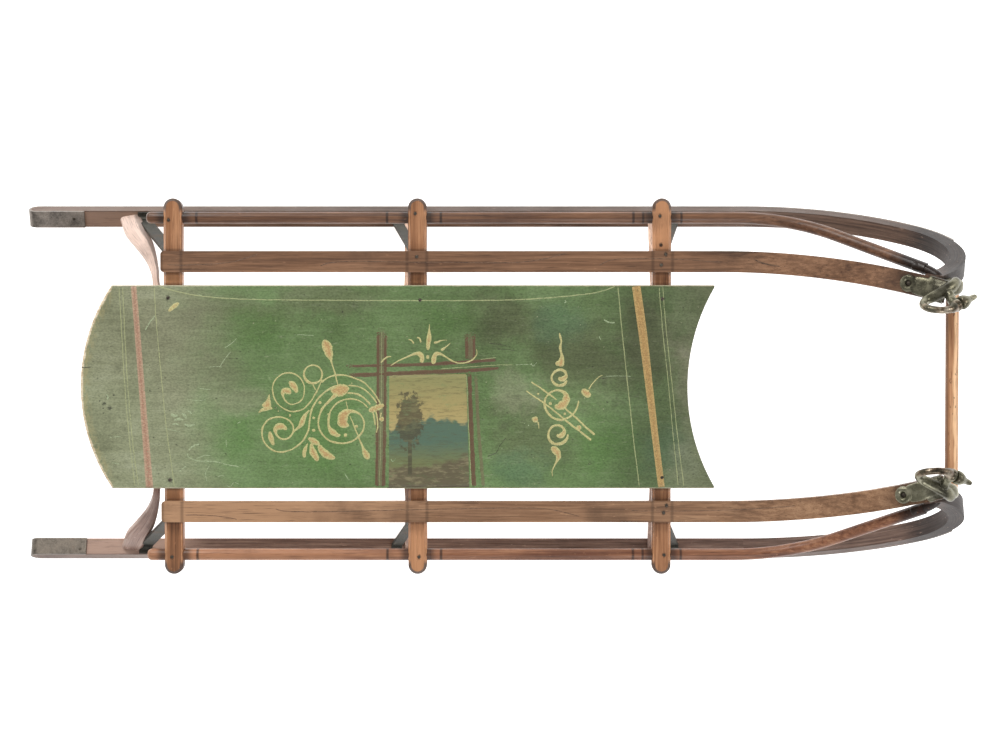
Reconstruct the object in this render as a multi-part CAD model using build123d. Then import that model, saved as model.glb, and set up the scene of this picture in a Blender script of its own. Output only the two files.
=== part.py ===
from build123d import *
import os
from math import asin, cos, degrees, radians, sin, tan

# A bent-wood coasting sled with two canted runners, three trestles, a painted seat and bird finials.
# Millimetres. +X runs to the front, +Y to the sled's left and +Z up. The worn soles lie on Z = 0.

# Whole sled
overall_length = 985.0
bar_length = 385.0      # the crossbars set the sled's width
deck_height = 150.0     # top of the crossbars
fit = 0.15          # running clearance of a rod, dowel or casting against the wood around it
end_gap = 0.3       # gap that is left at the end of a piece in its socket

# Runners: one bent strip each, standing in a plane that leans inwards
runner_inset = 8.0  # from a crossbar's end to a runner's middle, at the sole
cant = 20.0         # lean of a runner's plane from upright
runner_width = 18.0
runner_depth = 16.0
heel_radius = 7.0
rise_turn = 45.0
curl_radius = 113.0
curl_turn = 112.0
curl_rise = 4.7     # of the curl's middle above the deck, in the runner's plane

# Iron shoes under the runners, folded over the heel
shoe_thickness = 2.5
shoe_wear = 1.0     # depth of iron that the road has taken off the inner edge
shoe_flap = 52.0
shoe_climb = 28.0   # turn of the curl that the shoe still follows

# Crossbars
bar_width = 19.0
bar_depth = 18.0
bar_end_bevel = 3.5
bar_end_bevel_run = 2.8
rear_bar_inset = 177.5      # from the sled's rear end to the rear bar's middle
front_bar_inset = 307.5     # from the sled's nose to the front bar's middle

# Side slats, level on the crossbars and then swept up and inwards to the curls
slat_inset = 65.0       # from a crossbar's end to a slat's middle
slat_width = 21.5
slat_thickness = 8.0
slat_tail = 11.0        # behind the rear bar's middle
slat_rise_inset = 268.5     # from the nose to where a slat starts to rise
slat_rise_radius = 300.0
slat_rise_turn = 27.0
slat_turn_inset = 247.5     # from the nose to where a slat starts to turn inwards
slat_turn_radius = 700.0
slat_corner = 3.5
slat_overhang = 2.0     # past the runner's tip

# Seat board
seat_side_gap = 13.25   # between the board and a side slat
seat_thickness = 10.5
seat_tail = 60.5        # of the rear corners behind the rear bar's middle
seat_rear_bulge = 32.0
seat_lead = 54.0        # of the front corners ahead of the front bar's middle
seat_front_hollow = 28.5
seat_corner = 1.6
seat_edge = 1.5

# Side rods, through the ends of the crossbars
rod_diameter = 12.0
rod_inset = 19.5        # from a crossbar's end to a rod's middle
rod_tail = 28.0         # behind the rear bar's middle
rod_knee_inset = 177.5  # from the nose to the bend
rod_front_inset = 52.5  # from the nose to the front end
rod_sweep = 54.5        # inward travel of the front end
rod_bend_radius = 170.0
rod_nose = 4.5

# Front dowel between the curls
dowel_diameter = 13.3
dowel_turn = 74.0       # place along the curl
dowel_socket = 9.0      # depth of its socket in a runner

# Bent-wood bows that stand on the runners
bow_width = 18.0
bow_thickness = 7.5
bow_splay = 38.5        # of a leg from upright
bow_shoulder_radius = 70.0
bow_lean_drop = 32.0    # below the bars, where a bow's lean to the rear starts
bow_lean_radius = 100.0

# Iron straps from the runners to the undersides of the crossbars
strap_thickness = 3.0
strap_reach = 50.5      # inwards, from the middle of the sole to the bend under the bar
strap_tab = 16.0
strap_flange = 7.0
strap_heel = 1.0        # of the bend at the foot, outwards from the middle of the runner's top
strap_bend = 4.0

# Each trestle: name, bow's X from the bar, bow's foot X, strap's foot X, strap's width
trestles = [
    ("rear", -11.0, -74.0, -51.0, 14.0),
    ("middle", -6.0, -10.0, -28.0, 11.0),
    ("front", 0.0, 4.0, 23.0, 11.0),
]

# Cast finials: a lug and a nose on the slat's end, then a neck, the ring and a bird's head
lug_thickness = 3.0
lug_width = 18.0
lug_length = 52.0
lug_lap = 3.0           # of the lug's front end past the slat's end
lug_boss = 1.6          # height of the round boss about the screw hole
lug_boss_width = 15.6
lug_hole = 5.6
lug_sink = 9.6
lug_hole_inset = 9.0
nose_width = 15.0
nose_reach = 17.0
nose_height = 28.0
ring_radius = 14.9      # of the middle of the ring's bar
ring_bar = 3.5
ring_setback = 11.3     # of the ring's middle behind the slat's end
ring_lift = 15.0        # of the ring's middle above the nose's top
ring_inset = 8.0        # inwards from the runner's middle plane
ring_seam_turn = 120.0  # where the ring is closed
neck_root_radius = 5.2
neck_top_radius = 3.1
neck_ahead = 5.6        # of the neck's root from the slat's end
neck_sink = 4.0         # of the neck's root in the nose
neck_offset = 5.0       # of the neck's root outwards from the runner's middle plane
neck_turn = -30.0       # place on the ring where the neck meets it
head_turn = 15.0        # place on the ring where the head starts
head_droop = 30.0
head_swing = 12.0       # outwards

# Outline of a finial's nose: share of its reach, share of its height below the top
nose_outline = [(0.0, 1.0), (0.0, 0.0), (0.45, 0.04), (0.85, 0.3), (1.0, 0.75), (0.9, 1.0)]

# Profile of a bird's head: distance from the ring, radius
head_profile = [
    (0.0, 2.6),
    (3.2, 3.9),
    (3.6, 4.9),
    (5.2, 4.9),
    (5.6, 3.6),
    (6.6, 3.4),
    (8.6, 4.9),
    (11.4, 5.2),
    (14.2, 4.3),
    (16.4, 2.6),
    (20.5, 1.9),
    (23.6, 1.2),
]
beak_end = 24.4

# Values worked out from the sizes above
nose_x = overall_length / 2
heel_x = -overall_length / 2 + shoe_thickness
rear_bar_x = -overall_length / 2 + rear_bar_inset
front_bar_x = nose_x - front_bar_inset
middle_bar_x = (rear_bar_x + front_bar_x) / 2
bar_places = {"rear": rear_bar_x, "middle": middle_bar_x, "front": front_bar_x}
bar_floor = deck_height - bar_depth
bar_middle = deck_height - bar_depth / 2

track = bar_length / 2 - runner_inset
lean = radians(cant)
runner_top = shoe_thickness + runner_depth
runner_half = runner_width / 2 / cos(lean)
plane_rise = sin(lean) * runner_width / 2 - shoe_wear
rise = radians(rise_turn)
curl_x = nose_x - curl_radius
curl_level = deck_height + curl_rise
rise_radius = (curl_level - shoe_thickness - curl_radius * cos(rise)) / (1 - cos(rise))
rise_x = curl_x - (rise_radius - curl_radius) * sin(rise)
sole_run = rise_x - heel_x - heel_radius

slope = radians(slat_rise_turn)
slat_spacing = bar_length / 2 - slat_inset
slat_rear_x = rear_bar_x - slat_tail
slat_rise_x = nose_x - slat_rise_inset
slat_turn_x = nose_x - slat_turn_inset
slat_slope_x = slat_rise_x + slat_rise_radius * sin(slope)
slat_slope_z = deck_height + slat_rise_radius * (1 - cos(slope))

seat_half = slat_spacing - slat_width / 2 - seat_side_gap
seat_rear_x = rear_bar_x - seat_tail
seat_front_x = front_bar_x + seat_lead
rod_spacing = bar_length / 2 - rod_inset
rod_rear_x = rear_bar_x - rod_tail
rod_knee_x = nose_x - rod_knee_inset
rod_front_x = nose_x - rod_front_inset

# A runner's plane: local X runs forwards, local Y climbs along the lean, local Z points inwards
runner_plane = Plane(
    origin=(0, track, plane_rise),
    x_dir=(1, 0, 0),
    z_dir=(0, -cos(lean), -sin(lean)),
)


def tangent_runs(start, way, runs, offset=0.0):
    """Edges of straight and round runs, each tangent to the last.

    A run is (length, 0) when straight and (radius, turn) when round. The offset is to the right.
    """
    edges = []
    point = Vector(*start)
    way = Vector(*way).normalized()
    for size, turn in runs:
        if turn > 0:
            edge = JernArc(point, way, size + offset, turn)
        elif turn < 0:
            edge = JernArc(point, way, size - offset, turn)
        else:
            edge = Line(point, point + way * size)
        edges.append(edge)
        point = edge @ 1
        way = edge % 1
    return edges


def strip_face(start, way, runs, depth):
    """The face between a row of tangent runs and the same row set off to the left by the depth."""
    heading = Vector(*way).normalized()
    left = Vector(-heading.Y, heading.X, 0)
    outer = tangent_runs(start, way, runs)
    inner = tangent_runs(Vector(*start) + left * depth, way, runs, -depth)
    ends = [Line(outer[0] @ 0, inner[0] @ 0), Line(outer[-1] @ 1, inner[-1] @ 1)]
    return make_face(outer + inner + ends)


def cross_cylinder(radius, x, z, y_low, y_high):
    """A cylinder that lies along Y."""
    plane = Plane(origin=(x, y_low, z), x_dir=(1, 0, 0), z_dir=(0, 1, 0))
    return extrude(plane * Circle(radius), amount=y_high - y_low)


def both_sides(left, name):
    """A piece and its mirror image, as two named pieces."""
    return {f"{name}_left": left, f"{name}_right": mirror(left, about=Plane.XZ)}


def slat_underside(x):
    """Height of a slat's underside on its straight slope."""
    return slat_slope_z + (x - slat_slope_x) * tan(slope)


def slat_line(x):
    """Distance of a slat's middle from the middle of the sled, forward of its turn."""
    ahead = x - slat_turn_x
    return slat_spacing - slat_turn_radius * (1 - cos(asin(ahead / slat_turn_radius)))


def tip_x():
    """X where the runner's outer edge meets the slat's underside."""
    low = 0.0
    high = radians(curl_turn + rise_turn) - radians(90)
    for _ in range(40):
        turn = (low + high) / 2
        x = curl_x + curl_radius * cos(turn)
        level = curl_level + curl_radius * sin(turn)
        if plane_rise + level * cos(lean) < slat_underside(x):
            low = turn
        else:
            high = turn
    return x


slat_front_x = tip_x() + slat_overhang
slat_heading = degrees(asin((slat_front_x - slat_turn_x) / slat_turn_radius))
slat_front_z = slat_underside(slat_front_x) + slat_thickness / cos(slope)
nose_top = (slat_front_z + lug_thickness - plane_rise) / cos(lean)
ring_x = slat_front_x - ring_setback
ring_level = nose_top + ring_lift


def dowel_place():
    """The point where the dowel's axis meets a runner's middle."""
    along = radians(dowel_turn + rise_turn)
    middle = curl_radius - runner_depth / 2
    x = curl_x + middle * sin(along)
    level = curl_level - middle * cos(along)
    return runner_plane.from_local_coords(Vector(x, level, 0))


def foot_plane(side):
    """The plane of a runner's top face, facing up: side 1 is the left and -1 the right."""
    place = runner_plane.from_local_coords(Vector(0, runner_top, 0))
    normal = (0, -side * sin(lean), cos(lean))
    return Plane(origin=(0, side * place.Y, place.Z), x_dir=(1, 0, 0), z_dir=normal)


def ring_place(turn):
    """A place on the middle of the ring's bar, at an angle up from dead ahead."""
    x = ring_x + ring_radius * cos(radians(turn))
    level = ring_level + ring_radius * sin(radians(turn))
    return Vector(x, level, ring_inset)


def above_slat():
    """The space above the slope of a slat's underside, to trim a runner's tip."""
    ceiling = deck_height + overall_length
    outline = Polyline(
        (curl_x, slat_underside(curl_x)),
        (nose_x, slat_underside(nose_x)),
        (nose_x, ceiling),
        (curl_x, ceiling),
        close=True,
    )
    return extrude(Plane.XZ * make_face(outline), amount=track, both=True)


def lean_band(top_x, foot_x, foot_z, level, width):
    """A side view that stands upright above the level and leans to the foot below it."""
    half = width / 2
    drift = (foot_x - top_x) / (level - foot_z) * level
    outline = Polyline(
        (top_x - half, deck_height),
        (top_x - half, level),
        (top_x + drift - half, 0),
        (top_x + drift + half, 0),
        (top_x + half, level),
        (top_x + half, deck_height),
        close=True,
    )
    return make_face(outline)


def make_runner():
    """A bent strip with a rounded heel, trimmed at its tip to the slat and bored for the dowel."""
    drop = runner_depth - 2 * heel_radius
    curl = [(rise_radius, rise_turn), (curl_radius, curl_turn)]
    hollow = [(radius - runner_depth, turn) for radius, turn in curl]
    start = (heel_x + heel_radius, runner_top)
    heel = [(heel_radius, 90), (drop, 0), (heel_radius, 90)]
    outer = tangent_runs(start, (-1, 0), heel + [(sole_run, 0)] + curl)
    inner = tangent_runs(start, (1, 0), [(sole_run, 0)] + hollow)
    profile = make_face(outer + inner + [Line(outer[-1] @ 1, inner[-1] @ 1)])
    strip = extrude(runner_plane * profile, amount=runner_width / 2, both=True)
    place = dowel_place()
    socket_y = place.Y - runner_half + dowel_socket
    socket = cross_cylinder(dowel_diameter / 2 + fit, place.X, place.Z, 0, socket_y)
    return strip - above_slat() - socket


def make_shoe():
    """A flat iron from the top of the heel, round it, under the sole and part way up the curl."""
    drop = runner_depth - 2 * heel_radius
    runs = [
        (shoe_flap, 0),
        (heel_radius + shoe_thickness, 90),
        (drop, 0),
        (heel_radius + shoe_thickness, 90),
        (sole_run, 0),
        (rise_radius + shoe_thickness, rise_turn),
        (curl_radius + shoe_thickness, shoe_climb),
    ]
    start = (heel_x + heel_radius + shoe_flap, runner_top + shoe_thickness)
    profile = strip_face(start, (-1, 0), runs, shoe_thickness)
    shoe = extrude(runner_plane * profile, amount=runner_width / 2, both=True)
    below = (Align.CENTER, Align.CENTER, Align.MAX)
    road = Box(overall_length, runner_width * 2, shoe_thickness * 2, align=below)
    return shoe - Pos(0, track, 0) * road


def make_crossbar(x):
    """A bar with round, bevelled ends, bored for the two side rods."""
    bar = extrude(Plane.XY * SlotOverall(bar_length, bar_width), amount=bar_depth)
    round_edges = bar.edges().filter_by(GeomType.CIRCLE)
    bar = chamfer(round_edges, bar_end_bevel, bar_end_bevel_run)
    bar = Pos(x, 0, bar_floor) * Rot(0, 0, 90) * bar
    for side in (-1, 1):
        plane = Plane(origin=(x, side * rod_spacing, bar_middle), z_dir=(1, 0, 0))
        bar -= extrude(plane * Circle(rod_diameter / 2 + fit), amount=bar_width, both=True)
    return bar


def make_seat():
    """One board with a bowed rear edge and a hollow front edge."""
    half = seat_half
    rear = ThreePointArc((seat_rear_x, half), (seat_rear_x - seat_rear_bulge, 0), (seat_rear_x, -half))
    front = ThreePointArc((seat_front_x, -half), (seat_front_x - seat_front_hollow, 0), (seat_front_x, half))
    sides = [Line(rear @ 1, front @ 0), Line(front @ 1, rear @ 0)]
    outline = make_face([rear, front] + sides)
    outline = fillet(outline.vertices(), seat_corner)
    board = extrude(Pos(0, 0, deck_height) * outline, amount=seat_thickness)
    rim = board.faces().sort_by(Axis.Z)[-1].edges()
    return fillet(rim, seat_edge)


def make_slat():
    """The left lath, swept up and inwards: its side view and its plan, cut from one another."""
    level_run = slat_rise_x - slat_rear_x
    slope_run = (slat_front_x + slat_width - slat_slope_x) / cos(slope)
    side_runs = [(level_run, 0), (slat_rise_radius, slat_rise_turn), (slope_run, 0)]
    side = strip_face((slat_rear_x, deck_height), (1, 0), side_runs, slat_thickness)
    plan_turn = slat_heading + degrees(slat_width / slat_turn_radius)
    plan_runs = [(slat_turn_x - slat_rear_x, 0), (slat_turn_radius + slat_width / 2, plan_turn)]
    plan = strip_face((slat_rear_x, -slat_spacing - slat_width / 2), (1, 0), plan_runs, slat_width)
    plan = fillet(plan.vertices().sort_by(Axis.X)[:2], slat_corner)
    right = extrude(Plane.XZ * side, amount=track, both=True) & extrude(plan, amount=overall_length)
    right = split(right, bisect_by=Plane.YZ.offset(slat_front_x), keep=Keep.BOTTOM)
    return mirror(right, about=Plane.XZ)


def make_rod():
    """A round rod through the bars, bent up and inwards to the outer side of the curl."""
    front_z = slat_underside(rod_front_x) - rod_diameter / 2 / cos(slope) - end_gap
    path = FilletPolyline(
        (rod_rear_x, rod_spacing, bar_middle),
        (rod_knee_x, rod_spacing, bar_middle),
        (rod_front_x, rod_spacing - rod_sweep, front_z),
        radius=rod_bend_radius,
    )
    rod = sweep(Plane(origin=path @ 0, z_dir=path % 0) * Circle(rod_diameter / 2), path=path)
    return fillet(rod.edges().sort_by(Axis.X)[0], rod_nose)


def make_dowel():
    """The cross dowel, from the bottom of one socket to the bottom of the other."""
    place = dowel_place()
    reach = place.Y - runner_half + dowel_socket - end_gap
    return cross_cylinder(dowel_diameter / 2, place.X, place.Z, -reach, reach)


def make_bow(top_x, foot_x):
    """A bent arch whose crown bears a bar and whose feet stand on both runners."""
    foot = foot_plane(1).origin
    splay = radians(bow_splay)
    base_y = foot.Y + bow_thickness / 2 / cos(splay) + foot.Z * tan(splay)
    shoulder_y = base_y - bar_floor * tan(splay)
    turn = 90 - bow_splay
    cut = bow_shoulder_radius * tan(radians(turn) / 2)
    leg = bar_floor / cos(splay) - cut
    crown = 2 * (shoulder_y - cut)
    runs = [(leg, 0), (bow_shoulder_radius, turn), (crown, 0), (bow_shoulder_radius, turn), (leg, 0)]
    arch = strip_face((base_y, 0), (-sin(splay), cos(splay)), runs, bow_thickness)
    level = bar_floor - bow_lean_drop
    side_view = lean_band(top_x, foot_x, foot.Z, level, bow_width)
    if abs(foot_x - top_x) > bow_width:
        knees = side_view.vertices().filter_by(lambda v: abs(v.Y - level) < fit)
        side_view = fillet(knees, bow_lean_radius)
    bow = extrude(Plane.YZ * arch, amount=overall_length, both=True)
    bow &= extrude(Plane.XZ * side_view, amount=bar_length, both=True)
    for side in (1, -1):
        bow = split(bow, bisect_by=foot_plane(side), keep=Keep.TOP)
    return bow


def make_strap(top_x, foot_x, width):
    """A flat iron: a tab under the bar, a leg, and a flange on the runner's top."""
    level = runner_top + strap_thickness
    heel = runner_plane.from_local_coords(Vector(0, level, -strap_heel))
    toe = runner_plane.from_local_coords(Vector(0, level, -strap_heel - strap_flange))
    top_y = track - strap_reach
    line = FilletPolyline(
        (top_y - strap_tab, bar_floor),
        (top_y, bar_floor),
        (heel.Y, heel.Z),
        (toe.Y, toe.Z),
        radius=strap_bend,
    )
    outline = offset(line, amount=strap_thickness, side=Side.RIGHT, closed=True)
    strap = extrude(Plane.YZ * make_face(outline), amount=overall_length, both=True)
    side_view = lean_band(top_x, foot_x, heel.Z, bar_floor, width)
    return strap & extrude(Plane.XZ * side_view, amount=bar_length, both=True)


def make_finial():
    """The left casting: a lug on the slat, a nose in front of it, the neck, the ring and the head."""
    above = (Align.CENTER, Align.CENTER, Align.MIN)
    lug_run = lug_length * cos(slope) * cos(radians(slat_heading))
    middle_x = slat_front_x + lug_lap - lug_run / 2
    top_z = slat_underside(middle_x) + slat_thickness / cos(slope)
    lug_plane = Plane(
        origin=(middle_x, slat_line(middle_x), top_z),
        x_dir=(cos(slope), 0, sin(slope)),
        z_dir=(-sin(slope), 0, cos(slope)),
    )
    lug_place = lug_plane.location * Rot(0, 0, -slat_heading)
    lug = lug_place * extrude(SlotOverall(lug_length, lug_width), amount=lug_thickness)
    hole = lug_place * Pos(lug_hole_inset - lug_length / 2, 0, 0)
    boss = Cylinder(lug_boss_width / 2, lug_thickness + lug_boss, align=above)
    screw = Cylinder(lug_hole / 2, lug_thickness * 4)
    sink_depth = (lug_sink - lug_hole) / 2
    sink = Cone(lug_hole / 2, lug_sink / 2, sink_depth, align=above)
    sink = Pos(0, 0, lug_thickness + lug_boss - sink_depth) * sink
    ring = Pos(ring_x, ring_level, ring_inset) * Rot(0, 0, ring_seam_turn) * Torus(ring_radius, ring_bar)
    casting = runner_plane * (make_nose() + make_neck() + ring + make_head())
    return casting + lug + hole * boss - hole * screw - hole * sink


def make_nose():
    """The block that closes the slat's end and sits on the curl, in the runner's plane."""
    rear_x = slat_front_x + fit
    corners = [(rear_x + nose_reach * along, nose_top - nose_height * down) for along, down in nose_outline]
    block = extrude(make_face(Polyline(*corners, close=True)), amount=nose_width / 2, both=True)
    return block - Pos(curl_x, curl_level, 0) * Cylinder(curl_radius + fit, nose_width * 2)


def make_neck():
    """The tapered root that rises from the nose to the ring, in the runner's plane."""
    root = Vector(slat_front_x + neck_ahead, nose_top - neck_sink, -neck_offset)
    way = ring_place(neck_turn) - root
    frame = Plane(origin=root, x_dir=(0, 0, 1), z_dir=way)
    above = (Align.CENTER, Align.CENTER, Align.MIN)
    return frame * Cone(neck_root_radius, neck_top_radius, way.length, align=above)


def make_head():
    """Collar, ball and beak, turned about one drooping axis, in the runner's plane."""
    profile = Polyline((0, 0), *head_profile, (beak_end, 0), close=True)
    head = revolve(make_face(profile), Axis.X)
    return Pos(ring_place(head_turn)) * Rot(0, head_swing, 0) * Rot(0, 0, -head_droop) * head


pieces = {"seat_board": make_seat(), "front_dowel": make_dowel()}
for name, bow_shift, bow_foot, strap_foot, strap_width in trestles:
    bar_x = bar_places[name]
    pieces[f"crossbar_{name}"] = make_crossbar(bar_x)
    pieces[f"bow_{name}"] = make_bow(bar_x + bow_shift, bar_x + bow_foot)
    pieces.update(both_sides(make_strap(bar_x, bar_x + strap_foot, strap_width), f"strap_{name}"))
pieces.update(both_sides(make_runner(), "runner"))
pieces.update(both_sides(make_shoe(), "shoe"))
pieces.update(both_sides(make_slat(), "side_slat"))
pieces.update(both_sides(make_rod(), "side_rod"))
pieces.update(both_sides(make_finial(), "finial"))

os.makedirs("parts", exist_ok=True)
for name, shape in pieces.items():
    export_step(shape, f"parts/{name}.step")
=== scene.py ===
from functools import reduce
from math import cos, pi, radians, sin, tau

import bmesh
import bpy
from mathutils import Euler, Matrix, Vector
from mathutils.bvhtree import BVHTree
from mathutils.geometry import interpolate_bezier
from mathutils.noise import noise_vector, seed_set


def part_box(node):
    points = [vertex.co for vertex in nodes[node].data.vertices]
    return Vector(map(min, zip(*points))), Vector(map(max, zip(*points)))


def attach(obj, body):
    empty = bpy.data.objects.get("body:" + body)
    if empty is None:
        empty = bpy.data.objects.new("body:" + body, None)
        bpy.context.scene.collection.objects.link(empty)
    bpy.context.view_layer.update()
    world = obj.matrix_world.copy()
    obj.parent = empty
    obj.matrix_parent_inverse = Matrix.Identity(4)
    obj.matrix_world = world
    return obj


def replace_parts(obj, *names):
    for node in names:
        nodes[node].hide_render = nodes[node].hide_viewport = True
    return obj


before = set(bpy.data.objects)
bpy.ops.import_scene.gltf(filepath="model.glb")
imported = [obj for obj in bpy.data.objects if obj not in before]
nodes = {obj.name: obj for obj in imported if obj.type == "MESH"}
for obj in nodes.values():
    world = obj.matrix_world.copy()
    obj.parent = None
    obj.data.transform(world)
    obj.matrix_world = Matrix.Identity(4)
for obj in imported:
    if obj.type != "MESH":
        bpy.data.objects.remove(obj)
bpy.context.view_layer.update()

# Dresses the coasting sled: lights and camera, painted board, aged woods, iron, nails, castings and wear.
# Metres, in the frame of the solid model: +X is the front, +Y the sled's left and +Z up.

MM = 0.001
scene = bpy.context.scene
seed_set(7)     # the wobble of the painter's hand is the same in every run

# Places read from the solid model
seat_low, seat_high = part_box("seat_board")
seat_top = seat_high[2]
seat_half = seat_high[1]
seat_rear = seat_low[0]
bar_boxes = {name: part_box(f"crossbar_{name}") for name in ("rear", "middle", "front")}
bar_x = {name: (low[0] + high[0]) / 2 for name, (low, high) in bar_boxes.items()}
bar_low, bar_high = bar_boxes["middle"]
bar_top = bar_high[2]
bar_end = bar_high[1]
bar_half = (bar_high[0] - bar_low[0]) / 2
dowel_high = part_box("front_dowel")[1]
dowel_front = dowel_high[0]
dowel_top = dowel_high[2]

# Shapes of the solid model that the materials and the new pieces follow
sled_nose = 492.5 * MM
seat_bulge = 32.0 * MM
seat_rear_corner = seat_rear + seat_bulge
cant = radians(20.0)            # lean of the runners' planes
plane_rise = 2.08 * MM          # of the runners' planes above the road
runner_foot = 184.5 * MM        # from the sled's middle plane to a runner's plane, at the road
runner_out = 194.8 * MM         # the same for a runner's outer face, carried down its lean
sole = 2.5 * MM
curl_radius = 113.0 * MM
curl_x = sled_nose - curl_radius
curl_level = 154.7 * MM
rise_turn = radians(45.0)
rise_radius = (curl_level - sole - curl_radius * cos(rise_turn)) / (1 - cos(rise_turn))
rise_x = curl_x - (rise_radius - curl_radius) * sin(rise_turn)
slat_spacing = 127.5 * MM       # from the sled's middle plane to a slat's middle, over the bars
slat_seam = 11.2 * MM           # from a slat's middle to the dirt beside it
slat_thickness = 8.0 * MM
slat_level = bar_top + slat_thickness

# Where marks lie: thin dark rings on the rods, and the stretch of the left legs that painted light makes
# paler
rod_rings = [place * MM for place in (-291, -96, -52, -41, 156, 166, 205)]
lit_left_leg = (30 * MM, 90 * MM)


# Camera: straight above, tipped a little, at the picture's shape of 1000 by 750
view_height = 2.2
view_x = 19.5 * MM
view_y = 62.0 * MM
view_tip = radians(-1.4)
view_lens = 72.2
view_sensor = 36.0
picture_width = 1000
picture_height = 750
picture_focus = view_lens / view_sensor * picture_width
pixel = (view_height - seat_top) / picture_focus        # one pixel of the picture, on the seat


def add_camera():
    """The camera of the photograph, high over the seat."""
    data = bpy.data.cameras.new("camera")
    data.lens = view_lens
    data.sensor_width = view_sensor
    camera = bpy.data.objects.new("camera", data)
    camera.location = (view_x, view_y, view_height)
    camera.rotation_euler = (view_tip, 0, 0)
    scene.collection.objects.link(camera)
    scene.camera = camera


def picture_ray(column, row):
    """Where the camera is, and the way that it looks at one place of the picture."""
    across = (column - picture_width / 2) / picture_focus
    down = (row - picture_height / 2) / picture_focus
    turn = Euler((view_tip, 0, 0)).to_matrix()
    return Vector((view_x, view_y, view_height)), turn @ Vector((across, -down, -1.0))


def from_picture(column, row, level):
    """The point at a level that shows at one place of the picture."""
    eye, ray = picture_ray(column, row)
    return eye + ray * ((level - eye.z) / ray.z)


def node_tree(name):
    """A solid's surface, for rays."""
    mesh = nodes[name].data
    points = [vert.co.copy() for vert in mesh.vertices]
    return BVHTree.FromPolygons(points, [tuple(face.vertices) for face in mesh.polygons])


def on_surface(tree, column, row):
    """The point of a solid that shows at one place of the picture, and the way that it faces."""
    eye, ray = picture_ray(column, row)
    point, normal, face, reach = tree.ray_cast(eye, ray.normalized())
    return point, normal


def add_light(name, place, aim, width, power, tint):
    """A square soft box that looks at a point."""
    data = bpy.data.lights.new(name, "AREA")
    data.shape = "SQUARE"
    data.size = width
    data.energy = power
    data.color = tint
    light = bpy.data.objects.new(name, data)
    light.location = place
    light.rotation_euler = (Vector(aim) - Vector(place)).to_track_quat("-Z", "Y").to_euler()
    scene.collection.objects.link(light)


def add_studio():
    """A glowing white table, dim surroundings and three soft boxes, the strongest at the sled's left."""
    world = bpy.data.worlds.new("studio")
    world.use_nodes = True
    background = world.node_tree.nodes["Background"]
    background.inputs["Color"].default_value = (1.0, 1.0, 1.0, 1.0)
    background.inputs["Strength"].default_value = 0.42
    scene.world = world
    scene.view_settings.view_transform = "Standard"
    for name, place, width, power, tint in (
        ("key_box", (-1.3, 2.3, 1.9), 1.2, 62.0, (1.0, 0.985, 0.96)),
        ("fill_box", (0.7, -1.9, 2.1), 1.4, 30.0, (0.97, 0.98, 1.0)),
        ("front_box", (2.5, 0.5, 1.5), 1.0, 16.0, (1.0, 0.98, 0.95)),
    ):
        add_light(name, place, (0, 0, 0.1), width, power, tint)
    mesh = bpy.data.meshes.new("floor")
    form = bmesh.new()
    bmesh.ops.create_grid(form, x_segments=1, y_segments=1, size=6.0)
    form.to_mesh(mesh)
    form.free()
    floor = bpy.data.objects.new("floor", mesh)
    scene.collection.objects.link(floor)
    floor.data.materials.append(floor_finish())


# Patches of the seat's old paint, in the picture's pixels: column, row, reach along and across
seat_olive = [
    (250, 318, 80, 34), (505, 322, 62, 34), (585, 360, 70, 60), (530, 440, 60, 70), (330, 300, 90, 22),
    (640, 340, 60, 50), (420, 440, 30, 50),
]
seat_fresh = [
    (450, 322, 46, 26), (315, 430, 70, 60), (255, 330, 60, 30), (610, 450, 40, 40), (230, 440, 40, 30),
]
seat_teal = [
    (672, 452, 40, 40), (520, 470, 50, 26), (560, 320, 40, 30),
]
seat_grey = [
    (172, 398, 34, 22), (150, 330, 30, 44), (514, 392, 34, 30), (240, 400, 40, 18), (700, 380, 34, 60),
]
seat_spots = [
    (104, 403.5, 2.6, 2.4), (109.8, 408, 3, 2.8), (107, 396.4, 1.4, 1.4), (114, 395, 1.6, 1.2),
    (103, 408.4, 1.2, 1.2), (103.4, 413, 1.2, 1.0), (84, 415.4, 2.6, 2.6), (85.4, 424.4, 1.8, 2),
    (99.6, 401, 1.1, 1.1), (168, 298, 3.4, 3.4), (420, 300, 3.0, 2.4), (662.5, 299, 2.8, 2.8),
    (170, 480, 3.4, 3.0), (662, 477.5, 3.0, 2.6),
]


# Materials
def rgb(red, green, blue):
    """A screen colour, 0 to 255, as the linear colour that a shader takes."""
    channels = []
    for value in (red, green, blue):
        share = value / 255
        channels.append(share / 12.92 if share <= 0.04045 else ((share + 0.055) / 1.055) ** 2.4)
    return (*channels, 1.0)


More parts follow.
